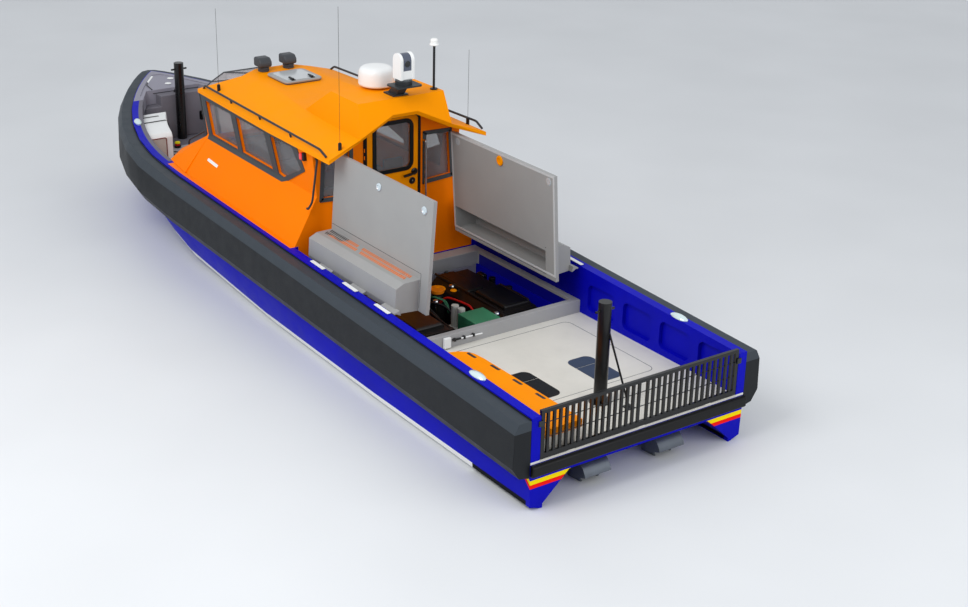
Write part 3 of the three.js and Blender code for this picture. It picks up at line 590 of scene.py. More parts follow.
@dataclass(frozen=True)
class Field:
    """A number that varies over a surface, as a node's output."""

    bench: "Bench"
    socket: Socket

    def _with(self, operation: str, other: Number = 0.0) -> "Field":
        """This number and another put through one Math node."""
        node = self.bench.add("ShaderNodeMath", operation=operation)
        self.bench.link(self.socket, node.inputs[0])
        self.bench.feed(other, node.inputs[1])
        return Field(self.bench, node.outputs[0])

    def __add__(self, other: Number) -> "Field":
        """The sum."""
        return self._with("ADD", other)

    def __sub__(self, other: Number) -> "Field":
        """The difference."""
        return self._with("SUBTRACT", other)

    def __mul__(self, other: Number) -> "Field":
        """The product, which is also 'both' for two masks."""
        return self._with("MULTIPLY", other)

    def __lt__(self, other: Number) -> "Field":
        """One where this is less."""
        return self._with("LESS_THAN", other)

    def __gt__(self, other: Number) -> "Field":
        """One where this is more."""
        return self._with("GREATER_THAN", other)

    def __or__(self, other: Number) -> "Field":
        """The larger, which is also 'either' for two masks."""
        return self._with("MAXIMUM", other)

    def power(self, exponent: float) -> "Field":
        """This number to a power."""
        return self._with("POWER", exponent)

    def size(self) -> "Field":
        """This number without its sign."""
        return self._with("ABSOLUTE")

    def held(self, low: float, high: float) -> "Field":
        """This number held between two limits."""
        return self._with("MAXIMUM", low)._with("MINIMUM", high)

    def within(self, low: Number, high: Number) -> "Field":
        """One where this lies between two numbers."""
        return (self > low) * (self < high)


class Bench:
    """Lays out the shader nodes of one material."""

    def __init__(self, name: str) -> None:
        """Start a material.

        Args:
            name: The material's name.
        """
        self.material = bpy.data.materials.new(name)
        self.material.use_nodes = True
        self.tree = self.material.node_tree
        self.shader = self.tree.nodes["Principled BSDF"]
        self.place = self.add("ShaderNodeTexCoord").outputs["Object"]

    def add(self, kind: str, **settings: object) -> bpy.types.Node:
        """Add a node of some kind with its settings."""
        node = self.tree.nodes.new(kind)
        for key, value in settings.items():
            setattr(node, key, value)
        return node

    def link(self, source: Socket, target: Socket) -> None:
        """Join an output to an input."""
        self.tree.links.new(source, target)

    def feed(self, value: Union[Number, Socket, tuple], target: Socket) -> None:
        """Put a plain value, a field or an output into an input."""
        if isinstance(value, Field):
            self.link(value.socket, target)
        elif isinstance(value, bpy.types.NodeSocket):
            self.link(value, target)
        else:
            target.default_value = value

    def axes(self) -> tuple[Field, Field, Field]:
        """The place on the surface as x, y and z in metres."""
        node = self.add("ShaderNodeSeparateXYZ")
        self.link(self.place, node.inputs[0])
        return tuple(Field(self, output) for output in node.outputs)

    def noise(self, scale: float, detail: float = 3.0, rough: float = 0.5,
              stretch: Optional[tuple[float, float, float]] = None) -> Field:
        """Smooth noise from 0 to 1.

        Args:
            scale: How many blobs a metre holds.
            detail: How many finer layers are added.
            rough: How strong the finer layers are.
            stretch: What each axis is multiplied by first.

        Returns:
            The noise.
        """
        place = self.place
        if stretch:
            mapping = self.add("ShaderNodeMapping")
            self.link(place, mapping.inputs["Vector"])
            mapping.inputs["Scale"].default_value = stretch
            place = mapping.outputs[0]
        node = self.add("ShaderNodeTexNoise")
        self.link(place, node.inputs["Vector"])
        node.inputs["Scale"].default_value = scale
        node.inputs["Detail"].default_value = detail
        node.inputs["Roughness"].default_value = rough
        return Field(self, node.outputs[0])

    def cells(self, scale: float) -> Field:
        """Distance to the nearest of many scattered points."""
        node = self.add("ShaderNodeTexVoronoi")
        self.link(self.place, node.inputs["Vector"])
        node.inputs["Scale"].default_value = scale
        return Field(self, node.outputs["Distance"])

    def ranged(self, value: Field, low: float, high: float, start: float = 0.0,
               end: float = 1.0) -> Field:
        """A field mapped from its own range to another and held there.

        Args:
            value: The field.
            low: The result where the field is at start.
            high: The result where the field is at end.
            start: The field's low end.
            end: The field's high end.

        Returns:
            The mapped field.
        """
        node = self.add("ShaderNodeMapRange")
        self.link(value.socket, node.inputs["Value"])
        limits = {"From Min": start, "From Max": end, "To Min": low, "To Max": high}
        for key, number in limits.items():
            node.inputs[key].default_value = number
        return Field(self, node.outputs[0])

    def mixed(self, mask: Field, under: Union[Socket, tuple], over: Union[Socket, tuple]) -> Socket:
        """Two colours mixed by a mask.

        Args:
            mask: How much of the upper colour shows.
            under: The lower colour.
            over: The upper colour.

        Returns:
            The mixed colour.
        """
        node = self.add("ShaderNodeMix", data_type="RGBA")
        self.link(mask.socket, node.inputs[0])
        self.feed(under, node.inputs[6])
        self.feed(over, node.inputs[7])
        return node.outputs[2]

    def bump(self, height: Field, distance: float, strength: float = 1.0) -> None:
        """Raise the surface by a height field.

        Args:
            height: The height from 0 to 1.
            distance: How far 1 stands proud, in metres.
            strength: How much of it shows.
        """
        node = self.add("ShaderNodeBump")
        node.inputs["Strength"].default_value = strength
        node.inputs["Distance"].default_value = distance
        self.link(height.socket, node.inputs["Height"])
        earlier = self.shader.inputs["Normal"]
        if earlier.is_linked:
            self.link(earlier.links[0].from_socket, node.inputs["Normal"])
        self.link(node.outputs[0], earlier)


@dataclass(frozen=True)
class Finish:
    """A painted, moulded or metal surface with its small variations."""

    name: str
    slot: str
    colour: Colour
    roughness: float = 0.4
    metallic: float = 0.0
    coat: float = 0.0
    gloss: float = 0.3
    mottle: float = 0.08
    mottle_scale: float = 2.5
    uneven: float = 0.06
    grain_scale: float = 90.0
    grain_height: float = 0.00015
    grime: float = 0.0

    def tint(self, bench: Bench) -> Socket:
        """The colour over the surface."""
        return self.shade(bench, self.colour)

    def shade(self, bench: Bench, colour: Colour) -> Socket:
        """One colour with its slow variation, and grime in patches.

        Args:
            bench: The material's bench.
            colour: The colour.

        Returns:
            The varied colour.
        """
        slow = bench.ranged(bench.noise(self.mottle_scale, 5.0, 0.6), 0.0, 1.0, 0.3, 0.7)
        base = bench.mixed(slow, colour.light(1 - self.mottle), colour.light(1 + self.mottle))
        if not self.grime:
            return base
        patches = bench.ranged(bench.noise(7.0, 8.0, 0.7), 0.0, self.grime, 0.52, 0.8)
        return bench.mixed(patches, base, GRIME.light())

    def relief(self, bench: Bench) -> None:
        """The fine relief of the surface."""
        bench.bump(bench.noise(self.grain_scale, 3.0), self.grain_height)

    def build(self) -> Material:
        """Make the material.

        Returns:
            The material.
        """
        bench = Bench(self.name)
        shader = bench.shader
        shader.inputs["Metallic"].default_value = self.metallic
        shader.inputs["Specular IOR Level"].default_value = self.gloss
        shader.inputs["Coat Weight"].default_value = self.coat
        shader.inputs["Coat Roughness"].default_value = 0.12
        bench.feed(self.tint(bench), shader.inputs["Base Color"])
        patches = bench.noise(5.0, 6.0, 0.65)
        low, high = self.roughness - self.uneven, self.roughness + self.uneven
        bench.feed(bench.ranged(patches, low, high, 0.3, 0.7), shader.inputs["Roughness"])
        self.relief(bench)
        return bench.material


@dataclass(frozen=True)
class NonSlip(Finish):
    """A deck coating with small raised grains."""

    def relief(self, bench: Bench) -> None:
        """Grains a few millimetres apart over a gentle waviness."""
        grains = bench.ranged(bench.cells(self.grain_scale), 1.0, 0.0, 0.1, 0.55)
        bench.bump(grains, self.grain_height)
        bench.bump(bench.noise(4.0), 0.0012, 0.4)


@dataclass(frozen=True)
class FoamSkin(Finish):
    """The tough skin of the foam collar, with painted light on its upper facet, and scuffed where it rubs.
    """

    # Painted light: the lighter colour of the collar's upper facet, as if lit from above.
    top: Colour = Colour(56, 63, 70)
    scuff: Colour = Colour(88, 92, 94)
    rail_at_stern: float = 0.985
    rail_slope: float = 0.0347
    sheer_start: float = 1.8
    sheer: float = 0.0183
    sheer_power: float = 1.77
    top_edge: float = 0.099

    def tint(self, bench: Bench) -> Socket:
        """Dark skin, with painted light above its upper edge, and long pale scuffs along the boat."""
        x, _, z = bench.axes()
        straight = (x - STERN_X) * self.rail_slope
        rail = straight + (x - self.sheer_start).held(0, 9).power(self.sheer_power) * self.sheer
        rail = rail + self.rail_at_stern
        # Painted light: the skin above its upper edge takes the lighter top colour.
        base = bench.mixed(z > rail - self.top_edge, self.shade(bench, self.colour), self.top.light())
        scuffs = bench.ranged(bench.noise(14.0, 9.0, 0.75, (0.25, 2.0, 2.0)), 0.0, 0.2, 0.6, 0.85)
        return bench.mixed(scuffs, base, self.scuff.light())

    def relief(self, bench: Bench) -> None:
        """A leathery grain over shallow dents."""
        bench.bump(bench.cells(420.0), 0.00018)
        bench.bump(bench.noise(3.2, 2.0), 0.003, 0.35)


@dataclass(frozen=True)
class Brushed(Finish):
    """Polished or brushed metal with fine lines."""

    def relief(self, bench: Bench) -> None:
        """Fine lines along one direction."""
        bench.bump(bench.noise(60.0, 4.0, 0.6, (1.0, 14.0, 14.0)), 0.00004)


@dataclass(frozen=True)
class WovenCover(Finish):
    """A woven cover over foam."""

    def relief(self, bench: Bench) -> None:
        """Crossing threads."""
        for stretch in ((1.0, 0.05, 0.05), (0.05, 1.0, 1.0)):
            wave = bench.add("ShaderNodeTexWave", wave_type="BANDS", bands_direction="DIAGONAL")
            mapping = bench.add("ShaderNodeMapping")
            bench.link(bench.place, mapping.inputs["Vector"])
            mapping.inputs["Scale"].default_value = stretch
            bench.link(mapping.outputs[0], wave.inputs["Vector"])
            wave.inputs["Scale"].default_value = 260.0
            bench.bump(Field(bench, wave.outputs["Fac"]), 0.0004, 0.6)


@dataclass(frozen=True)
class HullPaint(Finish):
    """Gloss hull paint with its boot line, stern stripes and grey foredeck."""

    white: Colour = Colour(232, 232, 230)
    yellow: Colour = Colour(250, 222, 0)
    red: Colour = Colour(245, 22, 12)
    grey: Colour = Colour(112, 109, 118)
    lip: Colour = Colour(150, 148, 160)
    well: Colour = Colour(176, 172, 176)
    black: Colour = Colour(12, 12, 14)
    cabin: Colour = Colour(140, 142, 144)
    flange: Colour = Colour(255, 128, 0)
    yellow_band: tuple[float, float] = (0.290, 0.338)
    red_band: tuple[float, float] = (0.246, 0.290)
    boot_band: tuple[float, float] = (-0.04, 0.05)
    black_boot: tuple[float, float] = (STERN_X + 0.06, STERN_X + 0.96)
    stern_line: tuple[float, float] = (0.512, 0.537)
    well_x: tuple[float, float] = (2.27, 4.3)
    well_floor: float = 0.79
    house_x: tuple[float, float] = (-1.068, 2.2)
    cabin_x: tuple[float, float] = (-1.06, 2.27)
    bay_x: tuple[float, float] = (-3.2, -1.2)
    bay_front_x: tuple[float, float] = (-1.34, -1.2)

    def tint(self, bench: Bench) -> Socket:
        """Blue with bands by height, grey in the fore well, and dark in the engine bay."""
        x, y, z = bench.axes()
        out = y.size()
        colour = self.shade(bench, self.colour)
        for mask, over in self.bands(x, out, z):
            colour = bench.mixed(mask, colour, over.light())
        return colour

    def bands(self, x: Field, out: Field, z: Field) -> Iterator[tuple[Field, Colour]]:
        """The painted regions from the lowest layer up.

        Args:
            x: Forward place.
            out: Distance from the centreline.
            z: Height.

        Yields:
            A mask and its colour.
        """
        rise = z - (x - STERN_X).held(0, 0.6)
        outside = out > 0.9
        low = z < 0.4
        yield outside * low * rise.within(*self.yellow_band), self.yellow
        yield outside * low * rise.within(*self.red_band), self.red
        chine = z - (x + 3.2).held(0, 9).power(3.1) * 0.00045 - 0.048
        boot = outside * chine.within(*self.boot_band)
        yield boot * (x > self.black_boot[1]), self.white
        yield boot * x.within(*self.black_boot), self.black
        yield (x < STERN_X + 0.05) * z.within(*self.stern_line), self.white
        t = ((x - BOW_START_X) * (1 / BOW_LENGTH)).held(0, 0.9999)
        half = ((t * t) * -1.0 + 1.0).power(BOW_POWER) * RAIL_HALF
        yield (x > self.well_x[0]) * (out < half - 0.1) * (z > self.well_floor), self.grey
        yield x.within(*self.well_x) * (out < half - 0.15) * z.within(self.well_floor, 0.9), self.well
        yield x.within(*self.house_x) * (out < 1.345) * (z > 1.1), self.flange
        yield (x > 4.56) * (z > 1.30) * (out < half - 0.012), self.lip
        yield x.within(*self.cabin_x) * (out < 1.245) * (z > 0.5), self.cabin
        yield x.within(*self.bay_x) * (out < 1.195) * (z < 0.1) * (z > -0.1), self.black
        yield x.within(*self.bay_front_x) * (out < 1.17) * z.within(0.2, 0.70), self.lip


@dataclass(frozen=True)
class HousePaint(Finish):
    """Gloss wheelhouse paint outside, and a plain lining inside."""

    lining: Colour = Colour(196, 198, 200)
    lining_top: float = 1.35
    skin: float = 0.022
    shoulder_z: float = 1.735
    shoulder_half: float = 0.975
    aft_offset: float = 1.07
    taper: float = 0.01718
    upper_slope: float = 0.1008
    lower_slope: float = -0.5534
    nose_start: float = 1.8
    nose_slope: float = -0.5714
    inside_x: tuple[float, float] = (-1.0475, 2.303)
    level_end: float = 1.86

    def wall(self, x: Field, z: Field, slope: float) -> Field:
        """How far out the side wall stands, from its slope above or below the shoulder."""
        rise = (z - self.shoulder_z) * slope
        return rise - (x + self.aft_offset) * self.taper + self.shoulder_half

    def tint(self, bench: Bench) -> Socket:
        """Paint outside, lining inside the walls."""
        x, y, z = bench.axes()
        out = y.size()
        upper = self.wall(x, z, self.upper_slope)
        lower = self.wall(x, z, self.lower_slope)
        nose = (x - self.nose_start) * self.nose_slope + self.shoulder_z
        inside = (out < upper - self.skin) * (out < lower - self.skin - 0.01)
        inside = inside * x.within(*self.inside_x) * ((x < self.level_end) | (z < nose - self.skin))
        inside = inside * (z < self.lining_top)
        return bench.mixed(inside, self.shade(bench, self.colour), self.lining.light())


@dataclass(frozen=True)
class CoamingPaint(Finish):
    """Grey paint, with blue on the bay's inner sides below the top strip."""

    below: Colour = Colour(8, 10, 150)

    def tint(self, bench: Bench) -> Socket:
        """Grey, then blue on the inner sides."""
        x, y, z = bench.axes()
        inner = (y.size() > 1.17) * (y.size() < 1.262) * (z < 0.655) * x.within(-3.12, -1.3)
        return bench.mixed(inner, self.shade(bench, self.colour), self.below.light())


@dataclass(frozen=True)
class MatPaint(NonSlip):
    """A deck mat's coating, dark to port and bluer to starboard."""

    starboard: Colour = Colour(58, 70, 92)

    def tint(self, bench: Bench) -> Socket:
        """One colour for each side of the boat."""
        _, y, _ = bench.axes()
        return bench.mixed(y < 0.0, self.shade(bench, self.colour), self.shade(bench, self.starboard))


@dataclass(frozen=True)
class PatchyPaint(Finish):
    """One colour with patches of another."""

    patch: Colour = Colour(236, 122, 36)

    def tint(self, bench: Bench) -> Socket:
        """The base colour, and the other in long patches along the boat."""
        patches = bench.ranged(bench.noise(2.6, 1.0, 0.4), 0.0, 1.0, 0.44, 0.5)
        return bench.mixed(patches, self.shade(bench, self.colour), self.patch.light())


@dataclass(frozen=True)
class TurretPaint(Finish):
    """White cheeks with a grey window between them."""

    window: Colour = Colour(84, 90, 106)
    window_y: tuple[float, float] = (-0.074, 0.034)
    window_foot: float = 3.185

    def tint(self, bench: Bench) -> Socket:
        """White, then grey on the upper half between the cheeks."""
        _, y, z = bench.axes()
        mask = y.within(*self.window_y) * (z > self.window_foot)
        return bench.mixed(mask, self.shade(bench, self.colour), self.window.light())


@dataclass(frozen=True)
class BandedPaint(Finish):
    """Paint of one colour below a height and another above it."""

    upper: Colour = Colour(230, 125, 10)
    split: float = 0.637

    def tint(self, bench: Bench) -> Socket:
        """The lower colour, then the upper one."""
        _, _, z = bench.axes()
        return bench.mixed(z > self.split, self.shade(bench, self.colour), self.upper.light())


@dataclass(frozen=True)
class WindowGlass(Finish):
    """Clear glass with a painted grey veil of sky reflection on it."""

    veil: float = 0.3

    def build(self) -> Material:
        """Make the glass.

        Returns:
            The material.
        """
        bench = Bench(self.name)
        inputs = bench.shader.inputs
        # Painted reflection: the grey base colour covers the glass by this share, standing for the sky
        # reflected on it.
        inputs["Alpha"].default_value = self.veil
        inputs["IOR"].default_value = 1.45
        inputs["Specular IOR Level"].default_value = self.gloss
        inputs["Coat Weight"].default_value = self.coat
        bench.feed(self.shade(bench, self.colour), inputs["Base Color"])
        film = bench.noise(6.0, 6.0, 0.7)
        bench.feed(bench.ranged(film, 0.03, 0.1, 0.3, 0.7), inputs["Roughness"])
        bench.bump(bench.noise(1.5, 1.0), 0.001, 0.15)
        return bench.material


@dataclass(frozen=True)
class LampLens(Finish):
    """A moulded lens with ribs that glows faintly in daylight."""

    def build(self) -> Material:
        """Make the lens.

        Returns:
            The material.
        """
        bench = Bench(self.name)
        inputs = bench.shader.inputs
        inputs["Roughness"].default_value = self.roughness
        inputs["Coat Weight"].default_value = 1.0
        bench.feed(self.shade(bench, self.colour), inputs["Base Color"])
        inputs["Emission Color"].default_value = self.colour.light()
        inputs["Emission Strength"].default_value = 0.25
        bench.bump(bench.noise(150.0, 1.0, 0.5, (0.1, 0.1, 1.0)), 0.0006)
        return bench.material


class Finishes(Enum):
    """The finishes of the boat."""

    HULL = HullPaint("hull_paint", "blue_gelcoat", Colour(8, 10, 176), 0.4, gloss=0.07, mottle=0.08,
                     grime=0.03)
    HOUSE = HousePaint("house_paint", "orange_gelcoat", Colour(255, 126, 0), 0.5, gloss=0.04,
                      mottle=0.02)
    ORANGE = Finish("orange_gelcoat", "orange_gelcoat", Colour(255, 152, 0), 0.5, gloss=0.04,
                    mottle=0.02)
    BOARD = Finish("board_orange", "orange_gelcoat", Colour(255, 146, 0), 0.5, gloss=0.06, mottle=0.04,
                   grime=0.05)
    FOAM = FoamSkin("foam_skin", "foam_skin", Colour(22, 25, 29), 0.5, gloss=0.22, mottle=0.12)
    LID = Finish("lid_grey", "lid_grey", Colour(158, 158, 157), 0.45, coat=0.05, gloss=0.25,
                 mottle=0.03, grime=0.03)
    LOUVRE = PatchyPaint("louvre_gap", "lid_grey", Colour(74, 72, 70), 0.6, gloss=0.1, mottle=0.1)
    # Painted highlight: the lid's grey made lighter, so the rim reads as lit against the shaded inner face.
    RIM = Finish("lid_rim", "lid_grey", Colour(200, 202, 203), 0.45, gloss=0.25, mottle=0.03)
    COAMING = CoamingPaint("coaming_grey", "lid_grey", Colour(168, 168, 168), 0.42, coat=0.05, mottle=0.04)
    DECK = NonSlip("deck_grey", "deck_grey", Colour(218, 215, 206), 0.6, grain_scale=170.0,
                   grain_height=0.0004, mottle=0.04, grime=0.06)
    MAT = MatPaint("deck_mat", "fender_rubber", Colour(26, 29, 33), 0.6, gloss=0.2, grain_scale=140.0,
                   grain_height=0.0006, mottle=0.15)
    FORE = NonSlip("fore_grey", "fore_grey", Colour(116, 113, 121), 0.6, gloss=0.2, grain_scale=150.0,
                   grain_height=0.0004, mottle=0.06, grime=0.04)
    WHITE = Finish("white_gelcoat", "white_gelcoat", Colour(238, 239, 238), 0.32, coat=0.2, mottle=0.03)
    TURRET = TurretPaint("turret_white", "white_gelcoat", Colour(238, 239, 238), 0.32, coat=0.2, mottle=0.03)
    POLE = BandedPaint("pole_paint", "frame_metal", Colour(30, 33, 36), 0.4, mottle=0.1,
                       upper=Colour(240, 240, 238), split=3.382)
    BLACK = Finish("black_metal", "black_metal", Colour(9, 9, 11), 0.3, coat=0.25, mottle=0.2)
    SEAL = Finish("window_seal", "fender_rubber", Colour(68, 72, 75), 0.55, gloss=0.2, mottle=0.08,
                  grain_scale=260.0)
    RUBBER = Finish("fender_rubber", "fender_rubber", Colour(8, 8, 9), 0.45, gloss=0.25, mottle=0.25,
                    grain_scale=200.0, grain_height=0.0003)
    TRIM = Finish("dark_trim", "frame_metal", Colour(46, 49, 52), 0.42, metallic=0.1, mottle=0.1)
    FRAME = Finish("frame_grey", "frame_metal", Colour(84, 88, 91), 0.42, metallic=0.1, mottle=0.08)
    HEAD = Finish("lamp_head", "console_plastic", Colour(66, 69, 73), 0.45, mottle=0.1, grain_scale=240.0)
    PLASTIC = Finish("console_plastic", "console_plastic", Colour(96, 98, 102), 0.55, mottle=0.1,
                     grain_scale=320.0, grain_height=0.0003)
    ENGINE = Finish("engine_iron", "engine_iron", Colour(15, 13, 13), 0.4, coat=0.1, mottle=0.25,
                    grain_scale=150.0, grain_height=0.0004, grime=0.1)
    COVER = Finish("engine_cover", "engine_iron", Colour(7, 7, 9), 0.36, coat=0.15, mottle=0.2)
    BROWN = Finish("port_engine_cover", "engine_iron", Colour(26, 13, 10), 0.36, coat=0.15, mottle=0.2)
    GREEN = Finish("green_paint", "green_paint", Colour(62, 138, 100), 0.42, coat=0.2, mottle=0.1,
                   grime=0.12)
    TANK = BandedPaint("tank_paint", "engine_iron", Colour(20, 20, 20), 0.38, coat=0.2, mottle=0.15)
    BEIGE = Finish("pod_panel", "white_gelcoat", Colour(196, 190, 182), 0.45, mottle=0.05)
    DARK_RED = Finish("pod_edge", "fender_rubber", Colour(120, 34, 28), 0.5, gloss=0.2, mottle=0.1)
    FILTER = Finish("filter_white", "white_gelcoat", Colour(206, 206, 198), 0.4, mottle=0.08, grime=0.15)
    YELLOW = Finish("lamp_yellow", "fender_rubber", Colour(236, 224, 20), 0.4, gloss=0.2, mottle=0.08)
    HOSE = Finish("red_hose", "fender_rubber", Colour(196, 22, 18), 0.45, gloss=0.2, mottle=0.1)
    STEEL = Brushed("bare_steel", "bare_steel", Colour(205, 208, 210), 0.18, metallic=1.0, mottle=0.05)
    CATCH = Finish("catch_chrome", "bare_steel", Colour(214, 226, 232), 0.2, metallic=0.4, coat=0.5,
                   mottle=0.2, mottle_scale=60.0)
    CLEAT = Finish("cleat_polish", "bare_steel", Colour(222, 240, 242), 0.2, metallic=0.35, coat=0.5,
                   mottle=0.05)
    JET = Brushed("jet_aluminium", "jet_aluminium", Colour(92, 98, 106), 0.35, metallic=0.6, mottle=0.2,
                  grime=0.2)
    SEAT = WovenCover("seat_cover", "seat_cover", Colour(112, 116, 122), 0.8, mottle=0.15)
    GLASS = WindowGlass("window_glass", "window_glass", Colour(150, 152, 156), 0.05, coat=0.2, gloss=0.35,
                        mottle=0.06)
    # Painted reflection: the windscreen's light pinkish grey veil stands for the sky's sheen on the glass.
    SCREEN_GLASS = WindowGlass("screen_glass_tint", "window_glass", Colour(190, 178, 180), 0.05, coat=0.2,
                               gloss=0.35, mottle=0.05, veil=0.5)
    PANE = Finish("hatch_pane", "window_glass", Colour(188, 192, 194), 0.12, coat=0.6, mottle=0.06)
    SCREEN = Finish("screen_glass", "console_plastic", Colour(10, 12, 16), 0.08, coat=0.8, mottle=0.1)
    RED_LENS = LampLens("port_lens", "whip_plastic", Colour(225, 14, 26), 0.15)
    GREEN_LENS = LampLens("starboard_lens", "whip_plastic", Colour(10, 150, 70), 0.15)
    WHIP = Finish("whip_black", "whip_plastic", Colour(14, 14, 16), 0.4, coat=0.15, mottle=0.1)


class Workshop:
    """Hands finished pieces to the frame, and keeps count of them."""

    def __init__(self) -> None:
        """Start with no materials made and no pieces handed over."""
        self.materials: dict[Finishes, Material] = {}
        self.count = 0

    def material(self, finish: Finishes) -> Material:
        """The material of a finish, made once."""
        if finish not in self.materials:
            self.materials[finish] = finish.value.build()
        return self.materials[finish]

    def deliver(self, piece: Object, finish: Finishes, body: str = Body.BOAT.value,
                stands_for: Sequence[str] = (), fill: Optional[float] = None,
                smooth: float = 35) -> Object:
        """Finish a piece and put it on its body.

        Args:
            piece: The modelled piece.
            finish: What it is finished in.
            body: The body that it rides on.
            stands_for: The CAD nodes that it replaces.
            fill: How full it is, where it is padded; not used.
            smooth: The angle up to which its shading is smooth.

        Returns:
            The piece.
        """
        piece.data.materials.clear()
        piece.data.materials.append(self.material(finish))
        activate(piece)
        bpy.ops.object.shade_smooth_by_angle(angle=math.radians(smooth))
        modified(piece, "WEIGHTED_NORMAL", keep_sharp=True, weight=60)
        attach(piece, body)
        if stands_for:
            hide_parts(*stands_for)
        self.count += 1
        faces = len(piece.data.polygons)
        LOG.info("piece %s: %d faces, %s, on %s", piece.name, faces, finish.value.name, body)
        return piece

    def deliver_pair(self, port: Object, finish: Finishes) -> None:
        """Hand over a port piece, which has its side in its name, and its starboard twin.

        Args:
            port: The port piece.
            finish: What both are finished in.
        """
        starboard = twin(port, port.name.replace(Side.PORT.word, Side.STARBOARD.word))
        for piece in (port, starboard):
            self.deliver(piece, finish)

    def paint(self, node: str, finish: Finishes) -> None:
        """Give a CAD node that keeps its shape its finish.

        Args:
            node: The CAD node.
            finish: What it is finished in.
        """
        materials = frame["nodes"][node].data.materials
        materials.clear()
        materials.append(self.material(finish))
        LOG.info("node %s: %s", node, finish.value.name)

    def soften(self, node: str, finish: Finishes, width: float, segments: int = 2,
               body: str = Body.BOAT.value, fill: Optional[float] = None) -> Object:
        """Replace a CAD node by its own shape with rounded corners.

        Args:
            node: The CAD node.
            finish: What it is finished in.
            width: The width of the rounding.
            segments: How many strips the rounding has.
            body: The body that it rides on.
            fill: How full it is, where it is padded.

        Returns:
            The piece.
        """
        piece = rounded(moulding(f"{node}_form", node), width, segments)
        return self.deliver(piece, finish, body, (node,), fill)


SHOP = Workshop()


# The hull and what lies low on it


def post_pin(word: str, x: float, z: float) -> None:
    """The sleeve over a towing post's crossbar, a little longer than the bar itself.

    Args:
        word: Which post it is.
        x: The post's place along the boat.
        z: The crossbar's height.
    """
    half = 122
    pin = bar(f"tow_post_pin_{word}", at(x, -half, z), at(x, half, z), 13 * MM, 20, 3 * MM)
    SHOP.deliver(pin, Finishes.BLACK)


@dataclass
class Hull:
    """The decked hull with its bulwark recesses, collar and stern fender."""

    edge: float = 7 * MM
    recess_x: tuple[float, ...] = (365, 985, 1605, 2225)
    recess_half: float = 240
    recess_low: float = 612
    recess_high: float = 935
    recess_depth: float = 46
    recess_corner: float = 70 * MM
    wall_y: float = 1290
    bead_start: float = -5.79
    bead_length: float = 11.1
    bead_steps: int = 40

    def recess_cutter(self) -> Object:
        """The rounded recesses in both bulwarks as one cutter.

        Returns:
            The cutter.
        """
        cutters = []
        for x in self.recess_x:
            low = at(x - self.recess_half, self.wall_y - 30, self.recess_low)
            high = at(x + self.recess_half, self.wall_y + self.recess_depth, self.recess_high)
            cutter = rounded_where(block("recess", low, high), self.recess_corner, 5, runs_along(1))
            cutters += [cutter, twin(cutter, "recess_twin")]
        return joined("recesses", cutters)

    def build(self) -> None:
        """Make the hull, the collar and the fender."""
        shell = carved(moulding("hull_form", "hull"), self.recess_cutter())
        rounded(shell, self.edge, 2)
        SHOP.deliver(shell, Finishes.HULL, stands_for=("hull",))
        for side in Side:
            SHOP.soften(f"collar_{side.word}", Finishes.FOAM, 7 * MM, 2, fill=1.0)
            self.cap(side)
        SHOP.soften("stern_fender", Finishes.RUBBER, 14 * MM, 3)

    def cap(self, side: Side) -> None:
        """A dark bead in the step between the lip and the collar.

        Args:
            side: The side of the boat.
        """
        route = []
        for i in range(self.bead_steps + 1):
            x = self.bead_start + i * (self.bead_length / self.bead_steps)
            t = max(0.0, min(0.9999, (x - BOW_START_X) / BOW_LENGTH))
            y = RAIL_HALF * (1 - t * t) ** BOW_POWER + 0.004
            route.append(Vector((x, side.value * y, self.rail_height(x) + 0.008)))
        SHOP.deliver(pipe(f"lip_bead_{side.word}", route, 7 * MM, detail=1), Finishes.RUBBER)

    @staticmethod
    def rail_height(x: float) -> float:
        """The rail's height at a place along the boat, in metres."""
        for (x0, z0), (x1, z1) in zip(RAIL_ROWS, RAIL_ROWS[1:]):
            if x <= x1:
                return z0 + (z1 - z0) * (x - x0) / (x1 - x0)
        return RAIL_ROWS[-1][1]


